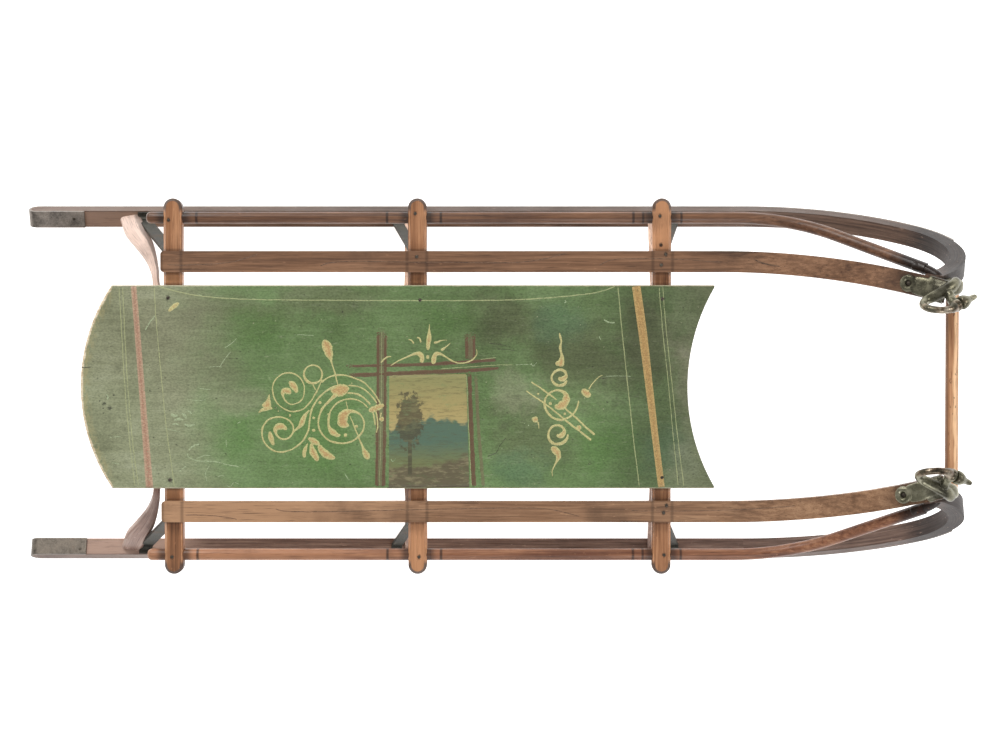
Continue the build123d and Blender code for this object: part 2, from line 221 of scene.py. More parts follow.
class Finish:
    """One material, its shader and short calls that wire nodes into it."""

    def __init__(self, name):
        self.material = bpy.data.materials.new(name)
        self.material.use_nodes = True
        self.tree = self.material.node_tree
        self.shader = self.tree.nodes["Principled BSDF"]
        self.place = self.tree.nodes.new("ShaderNodeTexCoord").outputs["Object"]
        split = self.tree.nodes.new("ShaderNodeSeparateXYZ")
        self.put(split.inputs[0], self.place)
        self.x, self.y, self.z = split.outputs
        self.relief = None

    def node(self, kind, inputs, output=0, **settings):
        made = self.tree.nodes.new(kind)
        for key, value in settings.items():
            setattr(made, key, value)
        for key, value in inputs.items():
            self.put(made.inputs[key], value)
        return made.outputs[output]

    def put(self, socket, value):
        if isinstance(value, bpy.types.NodeSocket):
            self.tree.links.new(value, socket)
        else:
            socket.default_value = value

    def math(self, how, a, b=0.0):
        return self.node("ShaderNodeMath", {0: a, 1: b}, operation=how)

    def add(self, *values):
        return reduce(lambda a, b: self.math("ADD", a, b), values)

    def times(self, *values):
        return reduce(lambda a, b: self.math("MULTIPLY", a, b), values)

    def most(self, *values):
        return reduce(lambda a, b: self.math("MAXIMUM", a, b), values)

    def least(self, *values):
        return reduce(lambda a, b: self.math("MINIMUM", a, b), values)

    def less(self, a, b):
        return self.math("SUBTRACT", a, b)

    def size(self, value):
        return self.math("ABSOLUTE", value)

    def length(self, a, b):
        return self.math("SQRT", self.add(self.times(a, a), self.times(b, b)))

    def vector(self, x, y, z):
        return self.node("ShaderNodeCombineXYZ", {0: x, 1: y, 2: z})

    def stretch(self, vector, x, y, z):
        return self.node("ShaderNodeVectorMath", {0: vector, 1: (x, y, z)}, operation="MULTIPLY")

    def noise(self, vector, scale, detail=4.0, rough=0.55, twist=0.0):
        inputs = {"Vector": vector, "Scale": scale, "Detail": detail, "Roughness": rough}
        return self.node("ShaderNodeTexNoise", {**inputs, "Distortion": twist})

    def grain(self, vector, x, y, z, detail=4.0, rough=0.55, twist=0.0):
        """Noise with a scale of its own along each axis."""
        return self.noise(self.stretch(vector, x, y, z), 1.0, detail, rough, twist)

    def shake(self, reach, vector, scale, detail=4.0, rough=0.55):
        """Noise that swings to both sides of 0, by up to half the reach."""
        return self.times(self.less(self.noise(vector, scale, detail, rough), 0.5), reach)

    def band(self, value, low, high, to_low=0.0, to_high=1.0):
        inputs = {"Value": value, "From Min": low, "From Max": high, "To Min": to_low, "To Max": to_high}
        return self.node("ShaderNodeMapRange", inputs, interpolation_type="SMOOTHSTEP")

    def ramp(self, value, stops):
        made = self.tree.nodes.new("ShaderNodeValToRGB")
        elements = made.color_ramp.elements
        while len(elements) < len(stops):
            elements.new(0.5)
        for element, (place, colour) in zip(elements, stops):
            element.position = place
            element.color = colour
        self.put(made.inputs[0], value)
        return made.outputs[0]

    def blend(self, share, a, b, how="MIX"):
        made = self.tree.nodes.new("ShaderNodeMix")
        made.data_type = "RGBA"
        made.blend_type = how
        made.clamp_factor = True
        self.put(made.inputs[0], share)
        self.put(made.inputs[6], a)
        self.put(made.inputs[7], b)
        return made.outputs[2]

    def layers(self, colour, *coats, how="MIX"):
        """A colour under further ones, each given with its share."""
        for share, tint in coats:
            colour = self.blend(share, colour, tint, how)
        return colour

    def bump(self, height, depth, strength=1.0):
        inputs = {"Height": height, "Distance": depth, "Strength": strength}
        if self.relief is not None:
            inputs["Normal"] = self.relief
        self.relief = self.node("ShaderNodeBump", inputs)

    def own(self, name):
        """A value that the piece's points carry."""
        return self.node("ShaderNodeAttribute", {}, output=2, attribute_name=name)

    def done(self, colour, rough, metal=0.0, coat=0.0, coat_rough=0.2):
        self.put(self.shader.inputs["Base Color"], colour)
        self.put(self.shader.inputs["Roughness"], rough)
        self.put(self.shader.inputs["Metallic"], metal)
        self.put(self.shader.inputs["Coat Weight"], coat)
        self.put(self.shader.inputs["Coat Roughness"], coat_rough)
        self.put(self.shader.inputs["Specular IOR Level"], 0.35)
        if self.relief is not None:
            self.put(self.shader.inputs["Normal"], self.relief)
        return self.material


def floor_finish():
    """The table: matt white that gives off light."""
    f = Finish("floor_white")
    colour = f.ramp(f.noise(f.place, 3.0, 2.0), [(0.3, rgb(247, 247, 247)), (0.7, rgb(252, 252, 252))])
    f.put(f.shader.inputs["Emission Color"], (1.0, 1.0, 1.0, 1.0))
    f.put(f.shader.inputs["Emission Strength"], 0.9)
    return f.done(colour, 0.9)


def wood_finish(name, along, tones, gloss=0.4, grime=0.5, pale_wear_and_light=None, shade_and_grime=None, pale=1.25):
    """Aged varnished wood.

    along gives the vector that runs with the grain in its first axis, tones are the dark, middle and
    light browns. A share by place may pick a tone paler than the light one by the factor pale, for pale
    wear and for painted highlights and painted light, and another a darker tone, for grime and for painted
    shade.
    """
    f = Finish(name)
    dark, middle, light = tones
    run = along(f)
    streak = f.grain(run, 11.0, 330.0, 330.0, 6.0, 0.66, 0.15)
    broad = f.grain(run, 4.0, 60.0, 60.0, 4.0, 0.5, 0.7)
    pores = f.grain(run, 45.0, 1700.0, 1700.0, 2.0, 0.5)
    patch = f.noise(f.place, 13.0, 6.0, 0.62)
    tone = f.add(f.times(streak, 0.6), f.times(broad, 0.4))
    colour = f.ramp(tone, [(0.36, dark), (0.5, middle), (0.62, light)])
    if pale_wear_and_light is not None:
        # pale wear, and painted highlights and painted light
        colour = f.blend(pale_wear_and_light(f), colour, brighten(light, pale))
    sooty = brighten(dark, 0.4)
    colour = f.layers(
        colour,
        (f.band(patch, 0.50, 0.74, 0.0, grime), sooty),
        (f.band(pores, 0.58, 0.72, 0.0, 0.7), sooty))
    if shade_and_grime is not None:
        # grime, and painted shade
        colour = f.blend(shade_and_grime(f), colour, brighten(dark, 0.22))
    rubbed = f.grain(run, 120.0, 420.0, 420.0, 3.0, 0.6)
    colour = f.blend(f.band(rubbed, 0.64, 0.76, 0.0, 0.45), colour, brighten(light, 1.5))
    f.bump(f.add(f.times(pores, 0.6), streak), 0.5 * MM, 0.5)
    rough = f.band(f.add(patch, f.times(streak, 0.4)), 0.4, 0.9, gloss - 0.1, gloss + 0.2)
    return f.done(colour, rough, coat=0.12, coat_rough=0.25)


def brighten(colour, share):
    """A linear colour made brighter or darker."""
    return (*[min(1.0, c * share) for c in colour[:3]], 1.0)


def near_places(f, value, places, reach, soft):
    """1 within the reach of any of the places along one axis, fading to 0."""
    aways = [f.size(f.less(value, place)) for place in places]
    return f.most(*[f.band(away, reach, reach + soft, 1.0, 0.0) for away in aways])


def beside_bars(away):
    """Where along the sled something lies at one distance before and behind the middle of each bar."""
    return [place + side * away for place in bar_x.values() for side in (-1, 1)]


def bar_shade_and_stains(f):
    """Painted shade in the round bevel at a bar's ends and beside the slats and the seat, and black stains
    round the nails.
    """
    across = f.size(f.y)
    nearest = f.least(*[f.size(f.less(f.x, place)) for place in bar_x.values()])
    past = f.most(f.less(across, bar_end - bar_half), 0.0)
    # painted shade in the bevel at the bar's ends
    bevel = f.band(f.length(past, nearest), bar_half - 3.6 * MM, bar_half - 2.2 * MM)
    rim = f.times(bevel, f.band(across, bar_end - 16 * MM, bar_end - 9 * MM))
    # painted shade beside the seat and the slats
    edges = (seat_half + 0.6 * MM, slat_spacing - slat_seam, slat_spacing + slat_seam)
    seams = near_places(f, across, edges, 0.4 * MM, 3 * MM)
    stains = f.times(nail_stains(f, "crossbar", bar_top), 0.8)
    return f.most(f.times(f.most(rim, f.times(seams, 0.6)), 0.9), stains)


def bar_highlights_and_bleach(f):
    """Painted highlights in thin threads along a bar's two edges, broken into patches, and the stretches
    that have bleached.
    """
    # painted highlight: a thin pale thread inside each long edge
    threads = near_places(f, f.x, beside_bars(bar_half - 1.5 * MM), 0.15 * MM, 0.6 * MM)
    patchy = f.band(f.grain(f.place, 300.0, 40.0, 40.0, 3.0, 0.6), 0.4, 0.55, 0.2, 0.9)
    front = f.times(f.band(f.x, 100 * MM, 120 * MM), f.band(f.y, 110 * MM, 130 * MM, 0.0, 0.55))
    on_middle = f.band(f.size(f.less(f.x, bar_x["middle"])), 40 * MM, 30 * MM)
    middle = f.times(on_middle, f.band(f.y, -100 * MM, -130 * MM, 0.0, 0.4))
    across = f.size(f.y)
    beside_seat = f.times(f.band(across, seat_half + 0.5 * MM, seat_half + 2 * MM),
                          f.band(across, seat_half + 16 * MM, seat_half + 14 * MM))
    rear = f.times(beside_seat, f.band(f.x, -280 * MM, -300 * MM, 0.0, 0.5))
    return f.most(f.times(threads, patchy), rear, front, middle)


def rod_shade_and_rings(f):
    """Painted shade where a rod goes into the bars and on its front end under the casting, and thin dark
    rings.
    """
    shade_at_bars = f.times(near_places(f, f.x, beside_bars(11 * MM), 1 * MM, 9 * MM), 0.75)
    # painted shade: the front end under the casting nearly black
    front = f.band(f.x, 405 * MM, 425 * MM, 0.0, 0.95)
    return f.most(shade_at_bars, front, f.times(near_places(f, f.x, rod_rings, 0.5 * MM, 1.6 * MM), 0.8))


def slat_shade_and_stains(f):
    """Painted shade on a slat towards its casting, black stains round the nails, and a darker band beside
    the bars.
    """
    # painted shade towards the casting
    casting = f.band(f.x, 385 * MM, 425 * MM, 0.0, 0.6)
    stains = f.times(nail_stains(f, "side_slat", slat_level), 0.8)
    beside = near_places(f, f.x, beside_bars(10 * MM), 0.3 * MM, 2.5 * MM)
    return f.most(casting, stains, f.times(beside, 0.4))


def runner_painted_shade(f):
    """Painted shade on the curl, in fine streaks along the grain and heaviest on its nose under the casting,
    and along the outer edge.
    """
    streaks = f.band(f.grain(run_round_curl(f), 9.0, 700.0, 500.0, 4.0, 0.7), 0.44, 0.62)
    curl = f.band(f.x, 240 * MM, 360 * MM, 0.0, 0.5)
    # painted shade on the nose under the casting
    nose_shade = f.band(f.x, 436 * MM, 468 * MM, 0.0, 0.75)
    out = f.add(f.size(f.y), f.times(f.z, sin(cant) / cos(cant)))
    outer_edge_shade = f.band(out, runner_out - 1.4 * MM, runner_out - 0.4 * MM, 0.0, 0.5)
    streaked_shade = f.add(f.times(f.band(streaks, 0.0, 1.0, 0.35, 0.8), curl), nose_shade)
    return f.most(streaked_shade, outer_edge_shade)


def runner_rear(f):
    """Bleached heels."""
    ragged = f.shake(0.3, f.place, 14.0, 4.0, 0.6)
    return f.band(f.add(f.x, ragged), -240 * MM, -360 * MM, 0.0, 0.75)


def bow_lit_left_leg(f):
    """Painted light: the left half of a bow is painted nearly white, in streaks."""
    streaks = f.grain(run_along_leg(f), 14.0, 420.0, 420.0, 4.0, 0.66)
    # painted light on the left legs
    return f.times(f.band(f.y, *lit_left_leg), f.band(streaks, 0.36, 0.6, 1.0, 0.45))


def dowel_highlight(f):
    """A painted highlight: a pale thread along the dowel near its top."""
    wavy = f.times(f.less(f.grain(f.place, 90.0, 30.0, 90.0, 3.0), 0.5), 5 * MM)
    away = f.size(f.less(f.add(f.x, wavy), dowel_front - 4.6 * MM))
    on_top = f.band(f.z, dowel_top - 6 * MM, dowel_top - 4 * MM)
    return f.times(f.band(away, 2.4 * MM, 0.7 * MM, 0.0, 0.85), on_top)


def dowel_shade_and_pits(f):
    """Painted shade along the rear of the dowel and under it, and grime in small pits."""
    # painted shade on the rear edge and underneath
    rear = f.band(f.x, dowel_front - 10.4 * MM, dowel_front - 12.2 * MM, 0.0, 0.6)
    pits = f.band(f.grain(f.place, 300.0, 120.0, 300.0, 3.0), 0.64, 0.7, 0.0, 0.6)
    under = f.band(f.z, dowel_top - 6 * MM, dowel_top - 10 * MM, 0.0, 0.4)
    return f.most(rear, pits, under)


def paler_to_rear(f):
    """Varnish worn thin towards the rear."""
    ragged = f.shake(0.5, f.place, 11.0, 4.0, 0.6)
    return f.band(f.add(f.x, ragged), 0.0, -200 * MM, 0.0, 0.7)


def run_along_x(f):
    """Grain along the sled."""
    return f.place


def run_along_y(f):
    """Grain across the sled."""
    return f.vector(f.y, f.x, f.z)


def run_along_leg(f):
    """Grain across a bow and down its legs, which are bent from one strip."""
    return f.vector(f.add(f.size(f.y), f.times(f.z, -1.2)), f.x, f.times(f.z, 0.15))


def run_round_curl(f):
    """Grain along a runner: straight, then round its two bends."""
    level = f.times(f.less(f.z, plane_rise), 1 / cos(cant))
    rise_level = sole + rise_radius
    rise_angle = f.math("ARCTAN2", f.less(f.x, rise_x), f.less(rise_level, level))
    curl_angle = f.math("ARCTAN2", f.less(f.x, curl_x), f.less(curl_level, level))
    rise_run = f.add(f.times(rise_angle, rise_radius), rise_x)
    past_rise = f.times(f.less(curl_angle, rise_turn), curl_radius)
    curl_run = f.add(past_rise, rise_x + rise_turn * rise_radius)
    rise_depth = f.less(rise_radius, f.length(f.less(f.x, rise_x), f.less(level, rise_level)))
    curl_depth = f.less(curl_radius, f.length(f.less(f.x, curl_x), f.less(level, curl_level)))
    on_rise = f.math("GREATER_THAN", f.x, rise_x)
    on_curl = f.math("GREATER_THAN", rise_angle, rise_turn)
    along = choose(f, on_rise, f.x, choose(f, on_curl, rise_run, curl_run))
    depth = choose(f, on_rise, level, choose(f, on_curl, rise_depth, curl_depth))
    side = f.add(f.size(f.y), f.times(f.z, 0.36))
    return f.vector(along, depth, side)


def choose(f, share, a, b):
    """a where share is 0 and b where it is 1."""
    return f.add(f.times(a, f.less(1.0, share)), f.times(b, share))


def patches(f, places, ragged, level=seat_top):
    """1 at each place, fading to 0: column and row in the picture, reach along and across."""
    shares = []
    for column, row, along, across in places:
        middle = from_picture(column, row, level)
        share = Vector((1 / (along * pixel), 1 / (across * pixel), 0.0))
        spread = f.stretch(f.place, *share)
        centre = (middle.x * share.x, middle.y * share.y, 0.0)
        away = f.node("ShaderNodeVectorMath", {0: spread, 1: centre}, output=1, operation="DISTANCE")
        shares.append(f.band(f.add(away, ragged), 1.0, 0.25))
    return f.most(*shares)


def seat_surface(f):
    """Colour and streaks of the old green paint: cloudy, greyed at both ends, scuffed and spotted."""
    streak = f.grain(f.place, 14.0, 240.0, 240.0, 6.0, 0.68, 0.2)
    cloud = f.noise(f.place, 9.0, 7.0, 0.66, 0.3)
    ragged = f.shake(2.2, f.place, 26.0, 6.0, 0.7)
    tone = f.add(f.times(streak, 0.3), f.times(cloud, 0.7))
    green = f.ramp(tone, [(0.34, rgb(90, 114, 66)), (0.5, rgb(110, 137, 86)), (0.66, rgb(132, 158, 108))])
    olive = f.ramp(tone, [(0.36, rgb(84, 92, 60)), (0.5, rgb(106, 114, 80)), (0.64, rgb(128, 134, 102))])
    grey = f.ramp(tone, [(0.36, rgb(128, 130, 102)), (0.5, rgb(154, 156, 126)), (0.64, rgb(178, 180, 152))])
    cloudy_x = f.add(f.x, f.times(f.less(cloud, 0.5), 0.2))
    fine = f.grain(f.place, 90.0, 620.0, 620.0, 4.0, 0.7)
    scuff = f.grain(f.place, 45.0, 150.0, 100.0, 6.0, 0.78)
    colour = f.layers(
        green,
        (f.times(patches(f, seat_olive, ragged), 0.65), olive),
        (f.times(patches(f, seat_fresh, ragged), 0.6), rgb(92, 130, 66)),
        (f.times(patches(f, seat_teal, ragged), 0.5), rgb(92, 128, 92)),
        (f.band(cloudy_x, -220 * MM, -330 * MM, 0.0, 0.85), grey),
        (f.band(cloudy_x, 170 * MM, 230 * MM, 0.0, 0.4), grey),
        (f.times(patches(f, seat_grey, ragged), 0.45), grey),
        (f.band(fine, 0.56, 0.74, 0.0, 0.35), rgb(160, 170, 136)),
        (f.band(scuff, 0.60, 0.72, 0.0, 0.5), rgb(170, 176, 144)))
    weave = f.grain(f.place, 420.0, 640.0, 500.0, 4.0, 0.7)
    shadows = f.ramp(weave, [(0.36, (0.56, 0.56, 0.56, 1.0)), (0.6, (1.0, 1.0, 1.0, 1.0))])
    specks = f.noise(f.place, 300.0, 4.0, 0.7)
    dirt = f.noise(f.place, 34.0, 7.0, 0.74)
    pits = f.grain(f.place, 260.0, 400.0, 400.0, 2.0)
    colour = f.layers(
        f.blend(0.75, colour, shadows, "MULTIPLY"),
        (f.band(specks, 0.67, 0.73, 0.0, 0.65), rgb(200, 198, 164)),
        (f.band(dirt, 0.56, 0.74, 0.0, 0.5), rgb(70, 72, 54)),
        (f.band(pits, 0.69, 0.75, 0.0, 0.7), rgb(52, 54, 40)))
    left = f.band(f.y, -10 * MM, 30 * MM)
    smoky = f.most(f.times(f.band(f.x, -100 * MM, 0.0), left), f.band(f.x, 100 * MM, 190 * MM))
    colour = f.layers(
        colour,
        (f.times(smoky, f.band(cloud, 0.3, 0.6, 1.0, 0.6)), (0.74, 0.68, 0.7, 1.0)),
        (f.band(f.x, 100 * MM, 170 * MM), (0.84, 0.8, 0.84, 1.0)),
        (f.times(f.band(f.x, 0.0, -100 * MM), left), (0.9, 0.88, 0.88, 1.0)),
        how="MULTIPLY")
    spots = patches(f, seat_spots, f.shake(2.4, f.place, 500.0, 4.0, 0.7))
    return f.blend(f.times(spots, 0.8), colour, rgb(48, 50, 42)), streak, scuff, fine


def seat_edge_wear(f):
    """Shares of bare wood and of worn rim: widest on the bowed rear edge, a thread along the sides."""
    ragged = f.less(f.noise(f.place, 160.0, 6.0, 0.75), 0.5)
    rear_arc = (seat_half ** 2 + seat_bulge ** 2) / (2 * seat_bulge)
    reach = f.length(f.less(f.x, seat_rear + rear_arc), f.y)
    behind = f.band(f.x, seat_rear_corner + 3 * MM, seat_rear_corner - 2 * MM)
    rough_reach = f.add(reach, f.times(ragged, 6 * MM))
    bare = f.times(f.band(rough_reach, rear_arc - 3.2 * MM, rear_arc - 1.6 * MM), behind)
    blotch = f.band(f.grain(f.place, 260.0, 120.0, 120.0, 5.0, 0.75), 0.44, 0.56)
    rim = f.times(f.band(rough_reach, rear_arc - 12 * MM, rear_arc - 4 * MM), behind, blotch)
    side_reach = f.add(f.size(f.y), f.times(ragged, 2.4 * MM))
    side = f.band(side_reach, seat_half - 1.5 * MM, seat_half - 0.5 * MM)
    return f.most(bare, f.times(side, 0.45)), rim


def seat_paint_finish():
    """The board: old paint, its worn rim and the bare wood of its edges and its underside."""
    f = Finish("seat_green_paint")
    colour, streak, scuff, fine = seat_surface(f)
    tones = [(0.36, rgb(186, 164, 130)), (0.5, rgb(220, 202, 172)), (0.66, rgb(240, 226, 202))]
    wood = f.ramp(streak, tones)
    bare, rim = seat_edge_wear(f)
    colour = f.layers(colour, (f.times(rim, 0.5), rgb(168, 158, 114)), (bare, wood))
    underside = f.blend(0.65, wood, rgb(120, 92, 64))
    colour = f.blend(f.band(f.z, seat_top - 9 * MM, seat_top - 4 * MM), underside, colour)
    f.bump(f.add(f.times(streak, 0.8), f.times(fine, 0.5)), 0.4 * MM, 0.4)
    rough = f.band(f.add(scuff, f.times(fine, 0.5)), 0.5, 1.0, 0.38, 0.62)
    return f.done(colour, rough, coat=0.1, coat_rough=0.3)


def decoration_finish(name, rim, heart, lost=0.1, thin=0.1, grainy=0.35):
    """Brushed decoration: paler at a stroke's rim, grainy, and flaked to the green where it has rubbed.

    A stroke's points carry how deep they lie inside it, and how fresh its paint is there.
    """
    f = Finish(name)
    under, streak, scuff, fine = seat_surface(f)
    mottle = f.noise(f.place, 480.0, 5.0, 0.75)
    grain = f.grain(f.place, 760.0, 980.0, 800.0, 3.0, 0.7)
    deep = f.add(f.own("depth"), f.times(f.less(mottle, 0.5), 2.4))
    faded = f.less(1.0, f.own("fresh"))
    flakes = f.add(f.times(mottle, 0.6), f.times(grain, 0.4), f.times(faded, 0.2))
    edge = 0.64 - 0.22 * lost
    colour = f.layers(
        f.blend(f.band(deep, 0.2, 1.1), rim, heart),
        (f.band(grain, 0.5, 0.62, 0.0, grainy), brighten(rim, 1.5)),
        (f.band(grain, 0.5, 0.38, 0.0, grainy), brighten(heart, 0.6)),
        (f.band(flakes, edge, edge + 0.05), under),
        (thin, under))
    f.bump(f.add(f.times(streak, 0.6), f.times(mottle, 0.5)), 0.3 * MM, 0.35)
    return f.done(colour, 0.5, coat=0.1, coat_rough=0.3)


def iron_finish(name, dark, light, rust, rough_low, rough_high):
    """Iron with a mottled skin, rubbed bright spots and a little rust."""
    f = Finish(name)
    skin = f.noise(f.place, 90.0, 6.0, 0.65)
    grit = f.noise(f.place, 650.0, 3.0, 0.6)
    patch = f.noise(f.place, 32.0, 4.0, 0.6)
    colour = f.ramp(f.add(f.times(skin, 0.7), f.times(grit, 0.3)), [(0.36, dark), (0.66, light)])
    colour = f.blend(f.band(patch, 0.55, 0.72, 0.0, rust), colour, rgb(98, 66, 44))
    f.bump(f.add(skin, f.times(grit, 0.6)), 0.5 * MM, 0.4)
    rough = f.band(skin, 0.35, 0.7, rough_low, rough_high)
    return f.done(colour, rough, metal=0.75)


def casting_finish():
    """Old plated iron: olive grey, with painted shade nearly black in the throat's hollow and the collar's
    slit, and brown on top of the rings, partly rubbed metal and partly painted highlight.
    """
    f = Finish("casting_iron")
    skin = f.noise(f.place, 120.0, 5.0, 0.62)
    cloud = f.noise(f.place, 46.0, 3.0, 0.55, 0.4)
    grit = f.noise(f.place, 900.0, 3.0, 0.6)
    tone = f.add(f.times(cloud, 0.6), f.times(skin, 0.3), f.times(grit, 0.1))
    patchy = f.noise(f.place, 80.0, 3.0)
    ring_brown_and_highlight = f.ramp(patchy, [(0.42, rgb(48, 38, 32)), (0.52, rgb(112, 88, 72)), (0.62, rgb(196, 182, 164))])
    # partly rubbed brown metal, partly painted highlight on top of the rings
    on_ring = f.band(f.z, 257 * MM, 262 * MM, 0.0, 0.55)
    # painted shade in the throat's hollow and the collar's slit
    throat_shade = f.times(f.band(f.x, 436 * MM, 446 * MM), f.band(f.x, 460 * MM, 455 * MM),
                     f.band(f.z, 252 * MM, 245 * MM, 0.0, 0.7))
    slit_shade = f.times(f.band(f.size(f.less(f.x, 464.6 * MM)), 1.6 * MM, 0.6 * MM, 0.0, 0.4),
                   f.band(f.z, 254 * MM, 258 * MM))
    colour = f.layers(
        f.ramp(tone, [(0.34, rgb(62, 59, 48)), (0.5, rgb(112, 109, 90)), (0.64, rgb(160, 156, 134))]),
        (on_ring, ring_brown_and_highlight), (throat_shade, rgb(44, 42, 36)), (slit_shade, rgb(20, 19, 16)))
    f.bump(f.add(skin, f.times(grit, 0.5)), 0.5 * MM, 0.5)
    return f.done(colour, f.band(skin, 0.35, 0.7, 0.2, 0.42), metal=0.7)


def run_on_limb(f):
    """Grain along a bent limb, whose points carry how far along and how far forward they lie."""
    return f.vector(f.times(f.own("along"), 0.25), f.times(f.own("front"), 0.008), 0.0)


def rear_bow_lit_left_leg(f):
    """Painted light: the left leg is painted nearly white, in streaks."""
    streaks = f.grain(run_on_limb(f), 14.0, 420.0, 1.0, 4.0, 0.66)
    return f.times(f.band(f.y, *lit_left_leg), f.band(streaks, 0.3, 0.66, 1.0, 0.6))


def rear_bow_flank_shade(f):
    """Painted shade on the legs' front flank: broad on the left leg, a thin thread on the right one."""
    front = f.add(f.own("front"), f.shake(0.3, f.place, 70.0, 4.0))
    # painted shade on the front flank
    left = f.times(f.band(front, 0.25, 0.5, 0.0, 0.62), f.band(f.y, 0.0, 50 * MM))
    right = f.times(f.band(front, 0.72, 0.9, 0.0, 0.6), f.band(f.y, 0.0, -50 * MM))
    return f.most(left, right)


def rear_bow_finish():
    """Thin strip of bent wood, pinkish, with painted light on its left leg and painted shade on its front
    flank.
    """
    tones = (rgb(112, 82, 72), rgb(156, 126, 112), rgb(192, 170, 158))
    return wood_finish("rear_bow_wood", run_on_limb, tones, grime=0.4, pale_wear_and_light=rear_bow_lit_left_leg,
                       shade_and_grime=rear_bow_flank_shade, pale=1.6)


def dress_nodes():
    """Every solid of the frame gets its finish."""
    slat = (rgb(84, 58, 42), rgb(122, 88, 64), rgb(150, 112, 84))
    pale = (rgb(104, 74, 52), rgb(142, 106, 78), rgb(170, 132, 100))
    rod = (rgb(66, 44, 32), rgb(102, 70, 50), rgb(134, 96, 70))
    red_rod = (rgb(92, 54, 38), rgb(134, 88, 62), rgb(168, 120, 88))
    bar = (rgb(112, 74, 48), rgb(154, 106, 72), rgb(184, 134, 96))
    bow = (rgb(96, 66, 54), rgb(144, 110, 92), rgb(186, 156, 136))
    runner = (rgb(72, 54, 44), rgb(112, 88, 74), rgb(142, 116, 100))
    lilac = (rgb(84, 64, 56), rgb(126, 102, 90), rgb(160, 134, 120))
    dowel = (rgb(148, 98, 66), rgb(196, 146, 106), rgb(222, 178, 138))
    finishes = {
        "seat": seat_paint_finish(),
        "crossbar": wood_finish("bar_brown", run_along_y, bar, pale_wear_and_light=bar_highlights_and_bleach, shade_and_grime=bar_shade_and_stains,
                                pale=1.4),
        "side_slat_left": wood_finish("slat_brown", run_along_x, slat, shade_and_grime=slat_shade_and_stains),
        "side_slat_right": wood_finish("slat_pale", run_along_x, pale, pale_wear_and_light=paler_to_rear,
                                       shade_and_grime=slat_shade_and_stains),
        "side_rod_left": wood_finish("rod_brown", run_along_x, rod, gloss=0.34, shade_and_grime=rod_shade_and_rings),
        "side_rod_right": wood_finish("rod_red", run_along_x, red_rod, 0.34, pale_wear_and_light=paler_to_rear,
                                      shade_and_grime=rod_shade_and_rings),
        "bow": wood_finish("bow_brown", run_along_leg, bow, gloss=0.34, pale_wear_and_light=bow_lit_left_leg, pale=1.65),
        "runner_left": wood_finish("runner_brown", run_round_curl, runner, 0.6, pale_wear_and_light=runner_rear,
                                   shade_and_grime=runner_painted_shade),
        "runner_right": wood_finish("runner_lilac", run_round_curl, lilac, 0.6, pale_wear_and_light=runner_rear,
                                    shade_and_grime=runner_painted_shade, pale=1.3),
        "front_dowel": wood_finish("dowel_pale", run_along_y, dowel, 0.34, 0.3, dowel_highlight, dowel_shade_and_pits,
                                   pale=1.45),
        "finial": iron_finish("cast_iron_grey", rgb(58, 54, 46), rgb(158, 152, 138), 0.25, 0.3, 0.5),
        "strap": iron_finish("strap_iron_grey", rgb(36, 35, 32), rgb(92, 90, 82), 0.4, 0.5, 0.7),
        "shoe_left": iron_finish("shoe_iron_grey", rgb(98, 92, 86), rgb(172, 162, 152), 0.35, 0.38, 0.55),
        "shoe_right": iron_finish("shoe_iron_brown", rgb(74, 69, 63), rgb(136, 127, 116), 0.4, 0.4, 0.6),
    }
    for name, node in nodes.items():
        for start, material in finishes.items():
            if name.startswith(start):
                node.data.materials.clear()
                node.data.materials.append(material)


# Painted decoration. A stroke is a run of (column, row, breadth) in the picture's pixels, and its
# section a low crown of (across, up) whose underside is sunk into the board.
stroke_section = ((-1.0, 0.0), (-0.96, 0.5), (0.0, 1.0), (0.96, 0.5), (1.0, 0.0), (-1.0, 0.0))
sunk = 0.03 * MM
deep_paint = 3.0        # pixels from the rim at which paint counts as one unit deep
least_half = 0.3        # half of the thinnest stroke, in pixels
bleed = 0.13            # pixels by which a stroke looks wider on the picture than it is

# The painter's hand sways slowly and trembles quickly: how fast each changes, per pixel, then how much it
# changes the breadth, and how far it moves the stroke, in pixels
sway_rate, sway_breadth, sway_reach = 0.16, 0.3, 0.3
tremor_rate, tremor_breadth, tremor_reach = 0.7, 0.16, 0.12


def smooth_run(stroke, step):
    """Points at even steps on a smooth curve through the points of a stroke."""
    knots = [Vector(point) for point in stroke]
    closed = (knots[0] - knots[-1]).length < 0.01
    slopes = []
    for index, knot in enumerate(knots):
        before = knots[index - 1] if index else (knots[-2] if closed else knot)
        after = knots[index + 1] if index + 1 < len(knots) else (knots[1] if closed else knot)
        slopes.append((after - before) / ((knot - before).length + (after - knot).length))
    run = [knots[0]]
    for index, (a, b) in enumerate(zip(knots, knots[1:])):
        reach = (b - a).length / 3
        count = max(2, int(3 * reach / step) + 1)
        leave, arrive = a + slopes[index] * reach, b - slopes[index + 1] * reach
        run += interpolate_bezier(a, leave, arrive, b, count + 1)[1:]
    return run, closed


def on_seat(column, row):
    """The top of the seat under one place of the picture."""
    return from_picture(column, row, seat_top)


